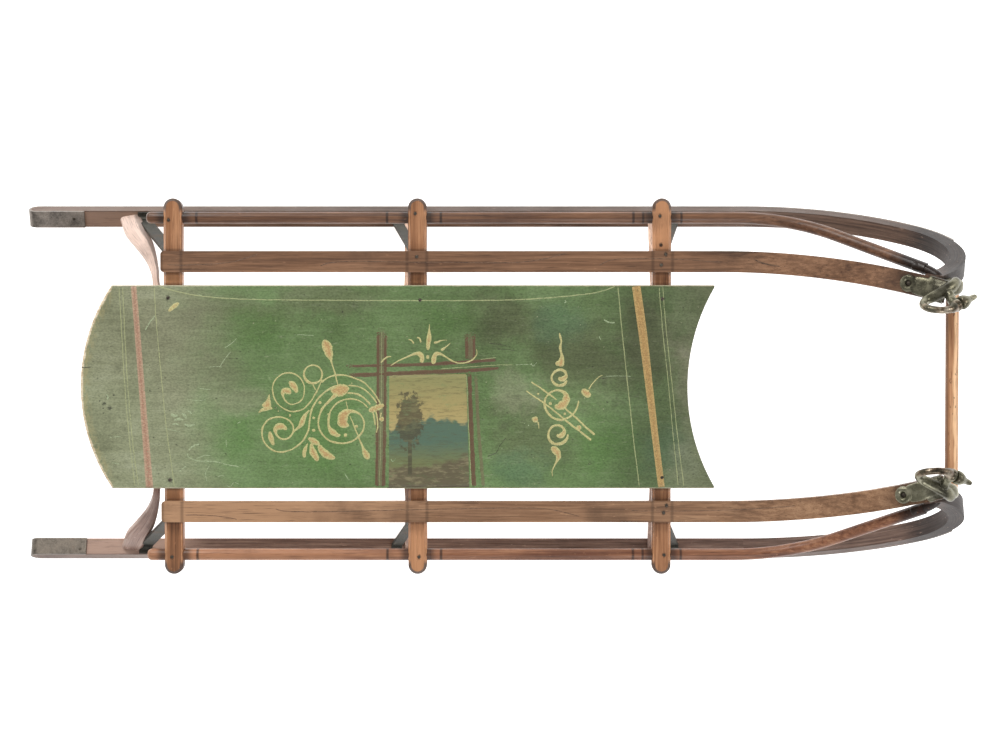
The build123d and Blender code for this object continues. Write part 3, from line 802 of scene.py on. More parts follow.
def brush(form, stroke, lift, surface=on_seat, step=1.0, fade=(0.0, 0.0), blunt=False):
    """One closed, slightly crowned stroke of paint along a smooth run.

    fade gives the pixels over which the paint comes in and runs out. A blunt stroke is cut square.
    """
    depth = form.verts.layers.float["depth"]
    fresh = form.verts.layers.float["fresh"]
    run, closed = smooth_run(stroke, step)
    if not blunt:
        for point in run:
            sway = noise_vector(Vector((point.x, point.y, 0.0)) * sway_rate)
            tremor = noise_vector(Vector((point.x, point.y, 5.0)) * tremor_rate)
            point.z *= 1 + sway_breadth * sway.z + tremor_breadth * tremor.z
            point.xy += sway.xy * sway_reach + tremor.xy * tremor_reach
        if closed:
            run[-1] = run[0].copy()
    places = [surface(point.x, point.y) for point in run]
    past = [0.0]
    for a, b in zip(run, run[1:]):
        past.append(past[-1] + (b - a).xy.length)
    last = len(run) - 1
    sides = len(stroke_section) - 1
    grid = bmesh.ops.create_grid(form, x_segments=last, y_segments=sides, size=1.0)["verts"]
    for vert in grid:
        index = round((vert.co.x + 1) / 2 * last)
        across, up = stroke_section[round((vert.co.y + 1) / 2 * sides)]
        ahead = places[(index + 1) % last if closed else min(index + 1, last)]
        behind = places[(index - 1) % last if closed else max(index - 1, 0)]
        way = (ahead - behind).xy.normalized()
        half = max(least_half, run[index].z / 2 - bleed)
        to_end = half if closed or blunt else min(past[index], past[-1] - past[index])
        full = 1.0 if to_end >= half else (1 - (1 - to_end / half) ** 2) ** 0.5
        vert.co = places[index] + Vector((-way.y, way.x, 0.0)) * (across * half * full * pixel)
        vert.co.z += up * full * (lift + sunk) - sunk
        vert[depth] = half * full * (1 - abs(across)) / deep_paint
        vert[fresh] = 1.0
        for length, gone in zip(fade, (past[index], past[-1] - past[index])):
            if length:
                vert[fresh] = min(vert[fresh], gone / length)


def new_form():
    """An empty bmesh whose points can carry the two measures of a stroke."""
    form = bmesh.new()
    form.verts.layers.float.new("depth")
    form.verts.layers.float.new("fresh")
    return form


def finish_piece(name, form, material, smooth=True):
    """Welds a bmesh, closes its ends, turns its faces outwards and makes it a piece of the sled."""
    bmesh.ops.remove_doubles(form, verts=form.verts, dist=0.002 * MM)
    bmesh.ops.holes_fill(form, edges=form.edges, sides=len(stroke_section))
    bmesh.ops.recalc_face_normals(form, faces=form.faces)
    mesh = bpy.data.meshes.new(name)
    form.to_mesh(mesh)
    form.free()
    for face in mesh.polygons:
        face.use_smooth = smooth
    mesh.materials.append(material)
    piece = bpy.data.objects.new(name, mesh)
    scene.collection.objects.link(piece)
    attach(piece, "root")
    return piece


def paint(name, strokes, lift, material, slot="seat_paint", **how):
    """A piece made of strokes that share one paint."""
    form = new_form()
    for stroke in strokes:
        brush(form, stroke, lift, **how)
    return finish_piece(name, form, material)


def line(breadth, *places):
    """A stroke of one breadth."""
    return [(column, row, breadth) for column, row in places]


def ring(column, row, radius, breadth, heavy=0.0):
    """A closed round stroke, heavier at its lower left."""
    stroke = []
    for part in range(13):
        angle = tau * part / 12
        place = (column + radius * cos(angle), row + radius * sin(angle))
        stroke.append((*place, breadth + heavy * max(0.0, cos(angle - 0.7 * pi))))
    return stroke


def dot(column, row, breadth, length=0.0):
    """A dab, about as long as it is broad or longer down the picture."""
    half = max(length, breadth) / 2
    return line(breadth, (column, row - half), (column, row + half))


# The great scroll with its two lesser spirals, in front of the red stripe
great_scroll = [
    [(330.5, 389.5, 4), (334, 390.5, 8), (339, 390.5, 11.5), (344, 389.7, 11.5), (347.8, 389.6, 9),
     (349, 390, 6)],
    [(336.5, 394, 5), (334.2, 396.4, 4), (328.7, 401.4, 3), (323.1, 407.6, 2.6), (319.8, 414.2, 2.2),
     (318.4, 420.9, 2), (319.2, 428.7, 2), (323.1, 435.3, 2), (329.8, 440.9, 2), (338.7, 443.1, 2),
     (347.6, 442.6, 2), (355.3, 439.2, 2), (361.4, 433.1, 2), (364, 426.4, 2), (363.4, 419.8, 2),
     (360.3, 414.8, 2), (355.8, 411.9, 2.4), (351, 411.2, 4), (346.6, 412.4, 7), (343.2, 416, 9.5),
     (342.4, 420.4, 10.5), (344.4, 423.8, 8.5), (347.4, 425.2, 5), (349.2, 425, 2.5)],
    [(368.1, 408.1, 1.6), (363.1, 403.1, 1.6), (356.4, 399.8, 1.6), (348.7, 398.9, 1.7),
     (340.9, 400.9, 1.8), (334.8, 405.3, 2), (330.3, 411.4, 2.2), (328.7, 418.7, 2.4), (328.9, 426.4, 3),
     (331.4, 430.9, 6), (335.3, 434.0, 6), (338.5, 435.4, 3.6), (340.4, 434.0, 1.5)],
    [(347, 393.1, 2), (354.2, 393.3, 2), (361.4, 396.4, 2), (367.6, 401.4, 2), (370.8, 405, 2)],
    line(1.7, (372.4, 411), (374.2, 418.7), (375.1, 425.6)),
    line(1.7, (348, 385.3), (355.3, 385.9), (363.1, 388.7), (369.8, 394.2), (374.8, 399.8), (377, 403.5)),
    line(1.8, (375.6, 411), (377.3, 418.7), (377.6, 426.4), (376.4, 433.3)),
    line(1.7, (321.2, 382.8), (325.3, 379.2), (330.9, 376.4), (338.7, 375), (346.4, 375.6), (354.2, 378.1),
         (362, 381.4), (368.7, 387), (374.2, 393.7), (379, 401), (380.4, 404)),
    [(368.4, 411, 3.5), (371.5, 410, 6), (376, 408.4, 7.8), (380, 406.6, 6.8), (383, 406, 5.4),
     (384.2, 407, 3.5)],
    [(379, 418.2, 3.2), (382, 419.4, 5.6), (384.4, 420.2, 3.6)], line(1.6, (381.2, 412), (380.6, 418)),
    line(1.1, (345.9, 400.9), (347.8, 410)),
    [(349.6, 415.5, 1.3), (354.2, 426.4, 1.5), (358.7, 437.6, 1.6), (361.4, 444.2, 2.2),
     (364.2, 450.9, 5.2), (367, 456.4, 6.2), (369, 459.4, 2.5)],
    [(324.3, 339.4, 3), (325.4, 343, 7.4), (327.3, 348, 9), (329.2, 354, 8), (330.5, 358.5, 4.4),
     (331.8, 363, 1.9), (334.5, 372, 1.7), (338.2, 386, 1.6)],
]
lesser_spirals = [
    [(322, 379, 1.6), (318.7, 387.6, 1.8), (314.2, 395.9, 1.8), (309.8, 402.6, 1.7), (304.2, 408.2, 1.6),
     (296.4, 411.4, 1.6), (288.7, 410.9, 1.6), (282, 407.6, 1.6), (276.4, 402, 1.6), (273.1, 394.2, 1.6),
     (272.6, 386.4, 1.6), (275.9, 379.2, 1.6), (282, 374.4, 1.6), (289.8, 372.9, 1.6), (296.4, 374.8, 1.6),
     (301.4, 379.8, 1.6), (304.2, 386.4, 1.6), (304.2, 393.1, 1.5), (302.2, 399.2, 1.5),
     (297.6, 403.1, 1.5), (290.9, 404.2, 1.6), (285.6, 400.9, 1.8), (283.2, 396.4, 2.4),
     (282.9, 392.8, 4.4), (285.2, 390.6, 6), (288.6, 391.5, 6), (290.8, 394, 3.4)],
    [(289, 381.5, 3), (291.6, 383.8, 6), (294.8, 387.8, 7.4), (296.2, 391, 5), (296, 393.2, 2.6)],
    line(1.5, (312.4, 384), (316, 390.5)),
    [(337, 386.2, 3), (333.7, 387, 3), (328.7, 389.4, 2.2), (323.1, 393.6, 2), (317.6, 399, 2),
     (313.7, 405.3, 2), (310.9, 412.4, 2), (309.6, 420.9, 2), (308.7, 428.7, 2), (306.2, 435.5, 2),
     (302, 441.8, 2), (296.4, 446.6, 1.9), (289.8, 450.3, 1.8), (282, 452, 1.8), (274.2, 450.9, 1.8),
     (267.6, 446.4, 2), (263.1, 439.8, 2), (261.8, 432, 2), (263.7, 425.3, 1.9), (268.7, 419.8, 1.8),
     (275.3, 417.3, 1.8), (283.1, 417.6, 1.8), (289.6, 421, 1.9), (293, 426.4, 2), (293, 432, 2),
     (289.8, 437, 2), (284.8, 439.2, 2), (279.8, 438.1, 2.2), (276.4, 434.2, 2.8), (275.4, 430, 4.8),
     (277.4, 427.2, 6.4), (281.5, 426.4, 6.6), (284.9, 428.2, 5.4), (285.8, 430.6, 3)],
    [(309.8, 409.8, 1), (306.4, 413.4, 3), (303.7, 417.8, 4.6), (301.8, 423, 5.4), (299.6, 426.6, 3.4),
     (295.6, 430, 2), (292.6, 433, 1.6)],
    ring(313.1, 374.3, 9.1, 2.0, 0.9),
]
scroll_leaves = [
    [(269.6, 394, 0.8), (268.6, 399.5, 4), (267.2, 404.5, 9), (266.2, 407.4, 12), (265.8, 409, 11)],
    [(258.4, 413.2, 1), (262, 410.2, 3), (267, 408.6, 4), (272.8, 408.4, 2)],
    [(270, 431.2, 1.5), (270.6, 436, 5), (272, 441, 5.6), (273.9, 445.4, 2.4)],
    [(307.8, 438.2, 2.6), (311.5, 440, 5.6), (316, 442.5, 5.6), (319.8, 444.4, 3.4)],
    [(307.9, 443, 1), (305.9, 447.6, 3), (304.2, 453.1, 4.4), (304.2, 458, 2.6)],
    [(311.6, 443, 2.6), (312.2, 449.8, 6), (314.8, 455.3, 6.8), (317.6, 459.8, 4.6), (318.6, 460.6, 3)],
    [(318.8, 444.4, 2.6), (321.4, 450, 6.4), (327.6, 455.3, 7.4), (333, 457.6, 4.8), (335.4, 456.8, 2.4)],
    dot(319.8, 402.6, 3.6, 2.4), dot(313.7, 417.8, 3.2), dot(313.7, 430.3, 3.6), dot(328.1, 414.2, 2.2),
    dot(356.4, 426.4, 3.4, 2.0), dot(345.6, 435.1, 4.2), dot(278.3, 411.1, 1.8), dot(290, 415.6, 2.0, 3.4),
    dot(352, 383.1, 1.6), dot(358.1, 393.9, 1.8),
]

# The leaf spray above the middle frame
leaf_spray = [
    [(429.4, 323.6, 0.6), (429.3, 329.8, 2.2), (429.1, 336.2, 4.8), (428.6, 341.6, 5.2),
     (428.2, 347.1, 3.8), (427.9, 350.6, 1.4)],
    dot(427.9, 356.9, 3.6, 4.6),
    [(390.2, 365.9, 1.2), (397.3, 361.6, 1.5), (404.5, 358, 1.7), (410.9, 355.3, 2.2), (416.4, 353.7, 3.4),
     (420, 354.3, 4.8), (422, 357.1, 5), (421.6, 360.7, 4.6), (420.9, 363, 3.4)],
    [(433.6, 364.8, 3.4), (433.6, 360.7, 5), (434.3, 356.4, 5.4), (436.6, 353.9, 5), (440.5, 354, 3.2),
     (445.5, 356.6, 2), (450.9, 360.3, 1.8), (456.4, 362.5, 1.7), (462.7, 363, 1.7), (469.1, 361.6, 1.7),
     (473.6, 358.9, 1.6), (476.8, 354.4, 1.4), (476.5, 348.9, 0.9)],
    [(408.2, 339.4, 1.2), (411.4, 340.3, 1.7), (414.2, 344.1, 2.2)],
    [(416.8, 337.1, 1.4), (419.5, 338.5, 1.9), (421.1, 343, 2)],
    [(433.6, 343, 2.8), (437.3, 342.1, 2.3), (441.8, 340.5, 1.3), (447.5, 340.1, 0.6)],
    [(440.5, 350, 2.8), (442.7, 349.4, 2.5), (446.4, 346.6, 1.7), (450.7, 342.9, 0.9)],
    [(380.4, 363.2, 2), (383.6, 359.8, 1.9), (387.3, 357.1, 1.7), (391.6, 356.4, 0.9)],
]

# The column of rings, commas and crossed darts towards the front
ring_column = [
    [(559.4, 332.6, 1), (560.3, 337.2, 2.6), (561.4, 341.7, 2), (560.3, 347.2, 2.8), (560.9, 351.7, 2.4),
     (561.9, 356.1, 4), (561.2, 361.2, 7), (560.1, 364.4, 9), (559.6, 366.6, 7)],
    [(561, 364, 4), (557.2, 363.4, 4.4), (555.2, 363.2, 3)],
    [(567.4, 380.2, 2.2), (563.7, 384.4, 3.2), (558.1, 385.6, 3.2), (553.1, 382.2, 3), (551.8, 376.7, 2.6),
     (554.8, 371.7, 2.6), (560.3, 369.5, 2.8), (565.1, 371.8, 3.2), (566, 375.6, 4), (563.8, 378.6, 6),
     (560.4, 379, 5), (558.6, 377.2, 2.6)],
    [(578.5, 400.3, 1.6), (578.1, 404, 2), (576.2, 409.4, 2.2), (572.4, 414.6, 2.3), (566.4, 418.5, 2.4),
     (558.7, 419.8, 2.4), (552, 417.2, 2.4), (547, 411.7, 2.4), (544.6, 405, 2.3), (545.6, 398.3, 2.2),
     (549.8, 392.9, 2.2), (556.4, 390.3, 2.4), (562.4, 391.4, 3.2), (566, 395.2, 5.4), (566, 400.2, 8),
     (562.6, 404.8, 9.2), (558, 406.6, 7), (554.8, 405, 3.4)],
    line(1.8, (530.9, 381.7), (548.7, 393.9), (557, 400)),
    [(564.8, 408.3, 2), (574.2, 416.1, 2.2), (584.2, 425.6, 2.4), (594.9, 435.2, 2.6)],
    [(525.9, 390.6, 1.2), (535.3, 397.2, 1.6), (544.2, 403.3, 1.8), (555.3, 411.7, 2), (566.4, 421.1, 2),
     (577.6, 429.6, 2.2), (591.4, 440.6, 2.6)],
    dot(550.3, 403.6, 3.8), dot(564.8, 413.9, 3.2), dot(578.9, 427.8, 5.4), dot(538.1, 393.9, 2.6),
    [(568.2, 433.8, 2.2), (566.4, 439.4, 2.8), (562, 443.3, 3.2), (555.3, 444.1, 3.2), (550.3, 441.1, 3),
     (548.4, 435, 2.6), (549.8, 429.4, 2.4), (554.2, 425.7, 2.4), (559.8, 425.7, 2.6), (563.6, 428.5, 3.2),
     (564.2, 432.2, 4.6), (561.6, 435.4, 5.2), (558.4, 435.8, 3.6), (556.2, 434.6, 2)],
    [(550.6, 448.3, 3), (554.2, 449.4, 7), (557.4, 452.8, 7.4), (558.5, 457.2, 5), (557, 461.1, 2.6),
     (554.2, 466.1, 1.5), (552.2, 471.7, 1.3), (552.6, 476.6, 0.9)],
    [(582.4, 388.8, 4.6), (585, 392.3, 9), (588.5, 394, 8.4), (591, 393.3, 5)],
    [(588.4, 389.6, 2), (593.1, 382.8, 1.3), (598.7, 377.2, 1.1), (602.8, 375.2, 0.8)],
    [(531.8, 418, 4), (535, 419.4, 6.6), (538.4, 419.4, 6)],
    [(537.6, 421.4, 2), (538.7, 425, 1.1), (538.8, 429.2, 0.8)],
]

# Stripes and lines that cross the board
red_stripe = [[(133.6, 286.2, 6), (137.6, 335, 6.2), (141.5, 385, 6.4), (145.4, 435, 7), (149.6, 487.6, 8)]]
ochre_stripe = [[(636.2, 286.2, 9), (643, 335, 9), (649, 385, 8), (655, 435, 7.2), (661.4, 487, 7)]]
thin_lines = [
    line(1.0, (119, 286.2), (121.5, 330), (125, 390), (130, 445), (135, 487)),
    line(1.0, (122.6, 286.2), (124.6, 330), (128, 390), (133, 445), (138.6, 487)),
    line(1.1, (154, 286.2), (156.2, 320), (160.6, 370), (166.6, 430), (174.6, 487.6)),
    line(1.2, (618, 286.2), (622.4, 335), (628.2, 390), (633.6, 440), (639.4, 487.4)),
    line(1.0, (659, 286.2), (662.6, 330), (669, 390), (673.6, 440), (678.4, 487)),
    line(1.0, (662.6, 286.2), (666.2, 330), (672.6, 390), (678, 440), (684, 487)),
    line(1.3, (158, 286.2), (172, 290.4), (201, 296), (245, 299.2), (350, 300.4), (440, 300.6), (506, 300),
         (551, 297.6), (580, 294.8), (600, 291.6), (616, 286.2)),
]

# The red-brown frame round the small view, drawn double
frame_lines = [
    [(378.6, 327, 3.4), (378, 400, 3.6), (376.8, 487.6, 3.6)],
    [(385.2, 331, 3.4), (384.6, 400, 3.8), (383.2, 487.6, 4.4)],
    [(345, 366.2, 3), (376, 365.6, 3.4), (420, 364.6, 3.6), (460, 362.4, 3.6), (497, 359.8, 3)],
    [(345, 375.6, 4.2), (385, 374, 4.6), (430, 372, 4.4), (470, 370.4, 4), (500, 368.2, 3)],
    [(469.4, 369, 4), (471.4, 430, 4.6), (474, 487.6, 4.6)], [(466.2, 331, 3.6), (467, 360, 3.8)],
    [(473.8, 330.6, 3.2), (474.2, 360, 3.4)],
]
faint_lines = [
    [(382, 326, 10), (381.8, 340, 11), (381.4, 400, 11), (380, 487.6, 11)],
    [(475.6, 372, 3.4), (478.6, 430, 3.6), (483.4, 487.6, 3.8)], [(470.2, 331, 5), (470.8, 361, 5)],
]
frame_threads = [
    line(0.9, (381.8, 330), (381.2, 400), (379.6, 487.4)),
    line(0.9, (440, 368.9), (470, 366.8), (500, 365), (513.6, 364.8)),
    line(0.8, (479, 359.7), (497, 357.4)), line(0.8, (466.6, 374), (468.8, 430), (471.2, 487)),
]

# The small painted view inside the frame: one corner and its size, in pixels, and the place of its
# tree as shares of that size
panel_strokes = [[(427.6, 374.4, 80), (428.4, 430, 82), (429, 487.6, 84)]]
panel_corner = (386.5, 488)
panel_length = 84
panel_breadth = 112
tree_along = 0.28
tree_up = 0.62

# Old damage: pale scratches down to the primer, and dark ones that hold dirt
pale_scratches = [
    line(1.5, (145, 330.6), (149.4, 323), (155.4, 315.6)),
    line(1.0, (219.4, 367.4), (225, 358.6), (230.8, 351.4)),
    line(0.9, (208, 367.4), (216, 366.4), (222.4, 367.2)), line(0.9, (224, 348.4), (232, 343), (237, 338)),
    line(0.8, (294, 334.6), (304, 335), (314, 335.6)),
    line(1.8, (188.3, 450.6), (192.4, 446.4), (199.6, 443.9)),
    line(1.2, (187, 453), (189, 457.6), (200, 461), (214, 461.6), (226, 464.4), (239.6, 466.8)),
    line(0.8, (209.8, 465), (205.7, 472.8), (206.6, 481.8)),
    line(0.9, (217.2, 477.4), (221, 475.4), (225.2, 476.2)),
    line(1.3, (179.4, 471.8), (182.4, 468.6), (186.2, 466)), line(0.8, (226.1, 439.2), (226.4, 447.4)),
    line(1.0, (236.4, 423.6), (241, 422)), line(0.8, (226, 484.6), (230, 487), (234, 482.6), (240.4, 485)),
    line(1.1, (343.8, 472.6), (349.6, 480.8)), line(1.0, (163.9, 428.2), (172, 430), (180.8, 432)),
    line(1.0, (111.6, 462.6), (119.6, 464)), line(1.1, (197.2, 293.8), (202.8, 296.2)),
    line(0.8, (197.6, 388), (206, 389.4), (211, 389)), line(0.8, (186, 399), (196, 400.6), (206, 399.6)),
    line(0.9, (196, 458.6), (206, 455.4), (212, 456)), line(0.9, (109, 437.6), (121, 436.6)),
    line(1.1, (390.4, 458.6), (392.4, 461.4), (396, 458)),
    line(1.0, (530.9, 362.6), (533.2, 366.2), (537.2, 362)),
    line(0.8, (515, 364.9), (524, 364.4), (532, 364.6)),
    line(1.6, (603.6, 319.4), (609, 322.4), (615.4, 322.6)), line(0.9, (599, 335.8), (601, 340.4)),
    line(0.7, (605, 376.4), (617, 375.8), (631.6, 376.6)), line(1.3, (443, 313.6), (443.2, 315.4)),
    line(1.2, (403.6, 330), (404, 331.6)), line(1.5, (524, 423), (525.6, 424)),
    line(1.4, (527.6, 425.8), (529.6, 425.2)), line(1.3, (593, 373.6), (594.6, 374)),
    line(1.2, (501.6, 447.6), (502.2, 449)), line(1.1, (564.2, 299.2), (566, 302), (563.6, 303)),
]
paint_chips = [
    [(170.4, 414, 2), (174, 415.6, 3.6), (178, 415, 2)],
    [(174, 420.4, 1.5), (179, 419, 3.4), (184, 420.4, 1.4)],
    [(181, 413.6, 1.4), (184.6, 415.6, 3), (187, 419, 1.4)],
    [(184, 424, 1.4), (189, 425.6, 2.4), (195.4, 424.6, 1)],
    [(172, 424.6, 1), (176, 424, 2), (179, 425.6, 1)], [(187, 410.4, 1), (190, 412, 2.2), (192, 414.6, 1)],
    [(106, 394, 1), (108, 397, 2), (107, 400, 1)],
]
ochre_dab = [[(168.4, 311.4, 2), (172, 308.2, 4.4), (176, 305, 4.4), (179.2, 302.8, 2)]]
dark_scratches = [
    line(1.0, (403.6, 399.4), (412, 397.6), (424, 396.6), (436, 397.2), (446, 399)),
    line(1.1, (404.8, 462.2), (411.6, 461.4), (419, 458.4)),
    line(1.1, (487.3, 456.4), (492, 454.8), (496, 452.6), (499, 447), (503, 441.6), (506, 437.6)),
    line(0.9, (489.6, 343.6), (500, 344.4), (511, 347)),
    line(0.9, (496.6, 349), (506, 349.4), (515.4, 350.6)),
    line(1.2, (80.9, 366.8), (85, 367.4), (91.6, 367)), line(1.0, (401, 404), (407, 405.4), (412, 404.6)),
]

# Dark lining on the side slats, drawn in long waves
left_slat_lines = [
    line(0.9, (166, 264.7), (178, 265.2), (191.7, 265), (216.7, 263.7), (233.3, 261.7), (250, 256.8),
         (259.4, 253.4)),
    line(1.0, (319.6, 266.2), (330, 262.7), (350, 261.4), (390, 261.8), (440, 262.3), (490, 262.6),
         (515, 262.5), (536.7, 260.3), (556.7, 255.8), (569, 251.6)),
    line(0.9, (598.2, 266.4), (606.7, 261.4), (616.7, 259.2), (630, 258.8), (663, 258.7), (688, 259.8),
         (705, 261.2), (723, 262.2)),
    [(753, 258.4, 1.4), (763, 263, 2.4), (781, 266.6, 1.2)],
]
right_slat_lines = [
    line(0.8, (184, 514.8), (200, 515), (216.7, 516), (230, 517.9), (238, 519.6)),
    line(0.9, (274.6, 508.4), (283, 511), (316.7, 511.8), (350, 511.2), (390, 510.2), (456.7, 508.9),
         (506.7, 508), (540, 508.3), (556.7, 510.5), (570, 513.8), (580, 516.4)),
    line(0.7, (630, 510.8), (680, 511), (720, 510.2), (746.7, 509.2), (796.7, 505.8)),
]

# Nails, by what carries them and where they show in the picture
nails = {
    "crossbar_rear": [(168.5, 220), (172, 557)],
    "crossbar_middle": [(415.2, 213.5), (419, 557)],
    "crossbar_front": [(660, 216), (661, 245), (664, 555)],
    "shoe_left": [(74, 219)],
    "shoe_right": [(80, 549)],
    "side_slat_left": [(416.7, 256.7), (665.8, 254.3), (661.3, 265)],
    "side_slat_right": [(666.5, 505.5), (663.6, 512.8)],
    "seat_board": [(168, 298), (420, 300), (662.5, 299), (170, 480), (662, 477.5)],
}
nail_head = [(0, 0.5), (0.9, 0.42), (1.5, 0.2), (1.75, -0.1), (1.75, -0.5), (0, -0.5)]
screw_head = [(0, -0.8), (2.0, -1.0), (2.7, -1.6), (2.7, -3), (0, -3)]
stain_reach = (2.6, 3.6)


def nail_stains(f, name, level):
    """1 in the black stain round each nail of a solid, drawn out across it."""
    ragged = f.shake(1.6, f.place, 600.0, 4.0, 0.7)
    stains = [(*place, *stain_reach) for start in nails if start.startswith(name) for place in nails[start]]
    return patches(f, stains, ragged, level)


def spun(form, place, normal, profile, steps=16):
    """A profile of (radius, height), in millimetres, turned round the way that a surface faces."""
    side = normal.orthogonal().normalized()
    verts = [form.verts.new(place + side * radius * MM + normal * height * MM) for radius, height in profile]
    edges = [form.edges.new(pair) for pair in zip(verts, verts[1:])]
    bmesh.ops.spin(form, geom=verts + edges, cent=place, axis=normal, dvec=(0, 0, 0), angle=tau,
                   steps=steps, use_merge=True, use_duplicate=False)


def add_nails(material):
    """Low domed heads, set a little into the wood, and the sunk heads of the castings' screws."""
    form = bmesh.new()
    for name, places in nails.items():
        tree = node_tree(name)
        for column, row in places:
            point, normal = on_surface(tree, column, row)
            spun(form, point, normal, nail_head)
    for side, shift in finial_shifts.items():
        spun(form, boss_place(side, shift), boss_normal, screw_head)
    finish_piece("nails", form, material)


# Cast finials and the rods' front ends, in the plane of a runner. A station is how far forward, how high
# and how far inwards, then half the breadth and half the depth of the section, all in millimetres.
finial_neck = [
    (467, 236, -5, 0, 0), (464.5, 241, -5, 6.0, 5.0), (459.5, 248.6, -4, 6.4, 5.4),
    (452, 254, -1.4, 6.2, 5.0),
    (442, 257.4, 3, 5.8, 4.5), (432.4, 260.6, 6.6, 4.8, 4.1), (427.6, 270, 8, 3.9, 3.7),
    (431.6, 281, 8, 3.6, 3.5), (442.3, 285.2, 8, 3.5, 3.4), (451.6, 282.2, 8, 3.9, 3.7),
    (456.6, 275.8, 7.8, 5.2, 5.0), (461, 271, 7.2, 0, 0),
]
finial_throat = [
    (458, 275, 7.6, 0, 0), (457.4, 268, 6.6, 4.6, 4.2), (456, 261, 4, 5.0, 4.4), (455, 255, 1, 5.2, 4.6),
    (454, 248, -1, 0, 0),
]
finial_nose = [
    (451.6, 246, 0, 0, 0), (452.8, 245.8, 0, 7.0, 9.2), (457, 242.2, 0, 7.6, 11),
    (461.5, 238.4, 0, 7.4, 11),
    (465, 234.4, 0, 7, 9.6), (467.4, 231, 0, 5.4, 6.6), (468.6, 229.6, 0, 0, 0),
]
finial_lug = [
    (422.2, 236.6, -2.3, 0, 0), (423.4, 237.5, -2.1, 7.4, 1.8), (429, 240.8, -1.5, 9.2, 2.2),
    (436, 244.9, -0.8, 9.3, 2.3), (442, 248.4, -0.1, 7.8, 1.9), (450, 253, 0.9, 6.6, 2.2),
    (456, 253, 1.2, 0, 0),
]
finial_cap = [
    (437.5, 240.4, 1.6, 0, 0), (439, 241.6, 1.8, 11.2, 5.2), (446, 245.7, 2.8, 11.8, 5.5),
    (452, 249.2, 3.6, 11.8, 5.6), (455.4, 251.2, 4.1, 10.8, 5.2), (456.8, 252, 4.3, 0, 0),
]
rod_sleeve = [
    (428, 217.6, -13.4, 0, 0), (429, 218.1, -13.2, 5.1, 5.1), (436, 222, -11.6, 5.2, 5.2),
    (440, 224.2, -10.8, 5.2, 5.2), (446, 228.6, -8.8, 5.1, 5.1), (451.5, 233.4, -5.8, 4.8, 4.8),
    (455, 237, -3, 0, 0),
]

# The bird's head and the boss of the lug are turned, so they are profiles of (radius, height)
finial_head = [
    (0, -3), (4.6, -2.4), (5.9, 0.2), (6.5, 3.0), (6.3, 5.0), (5.4, 6.0), (3.2, 6.3), (3.2, 7.7),
    (6.2, 8.0),
    (6.9, 9.2), (7.0, 11.4), (6.6, 13.8), (5.4, 16.6), (4.0, 19.0), (3.2, 21.2), (2.9, 24), (2.7, 26.4),
    (1.9, 28.2), (0, 28.8),
]
finial_boss = [
    (2.8, -3.4), (2.8, 0.3), (4.7, 1.8), (6.9, 1.8), (8.0, 1.0), (8.6, -0.8), (8.8, -3.4), (2.8, -3.4),
]
head_root = (456.7, 274.5, 8)
head_way = (0.847, -0.489, -0.208)
boss_middle = (418.6, 236.1, -2.8)
boss_normal = Vector((-0.4512, 0, 0.8924))
lug_across = Vector((0.297, -0.327, -0.897))
plane_across = Vector((0, 0, 1))
sled_across = Vector((1, 0, 0))
no_shift = (0, 0)

# How far forward and outwards the left (1) and the right (-1) casting sit from their mirrored places
finial_shifts = {1: (2.4 * MM, -2.2 * MM), -1: (-1.4 * MM, -1.6 * MM)}

# The casting's skin: cells of its remeshing, then the smoothing of its seams
cast_cell = 0.45 * MM
cast_softness = 0.5
cast_passes = 3


def cast_place(side, shift, x, level, inwards):
    """A place given in the plane of the left or the right runner, in millimetres."""
    y = runner_foot - (level * sin(cant) + inwards * cos(cant)) * MM
    z = plane_rise + (level * cos(cant) - inwards * sin(cant)) * MM
    return Vector((x * MM + shift[0], side * (y + shift[1]), z))


def boss_place(side, shift):
    """The middle of a lug's screw hole."""
    return cast_place(side, shift, *boss_middle)


def eased(rows, parts):
    """Rows of numbers on a smooth curve through the rows given, with so many parts between each two."""
    rows = [Vector(row) for row in rows]
    run = []
    for index, (a, b) in enumerate(zip(rows, rows[1:])):
        leave = (b - rows[max(index - 1, 0)]) * 0.5
        arrive = (rows[min(index + 2, len(rows) - 1)] - a) * 0.5
        for part in range(parts):
            t = part / parts
            run.append(a * (2 * t ** 3 - 3 * t ** 2 + 1) + leave * (t ** 3 - 2 * t ** 2 + t)
                       + b * (3 * t ** 2 - 2 * t ** 3) + arrive * (t ** 3 - t ** 2))
    return run + [rows[-1]]


def sled_place(side, shift, x, y, z):
    """A place given in the sled's own axes, in millimetres, on its left or its right."""
    return Vector((x * MM + shift[0], side * (y * MM + shift[1]), z * MM))


def limb(form, side, shift, stations, across=plane_across, square=1.0, parts=6, around=24,
         place=cast_place):
    """A closed limb through stations; a lower square makes its section more like a rounded box."""
    run = eased(stations, parts)
    last = len(run) - 1
    for vert in bmesh.ops.create_grid(form, x_segments=last, y_segments=around, size=1.0)["verts"]:
        index = round((vert.co.x + 1) / 2 * last)
        turn = tau * round((vert.co.y + 1) / 2 * around) / around
        way = run[min(index + 1, last)].xyz - run[max(index - 1, 0)].xyz
        wide = (across - way * (across.dot(way) / way.length_squared)).normalized()
        deep = way.cross(wide).normalized()
        half_wide, half_deep = max(0.0, run[index][3]), max(0.0, run[index][4])
        if index in (0, last):
            half_wide = half_deep = 0.0
        u, v = (abs(value) ** square * (1 if value > 0 else -1) for value in (cos(turn), sin(turn)))
        vert.co = place(side, shift, *(run[index].xyz + wide * half_wide * u + deep * half_deep * v))
        for name, value in (("front", u), ("along", index / last)):
            layer = form.verts.layers.float.get(name)
            if layer:
                vert[layer] = value


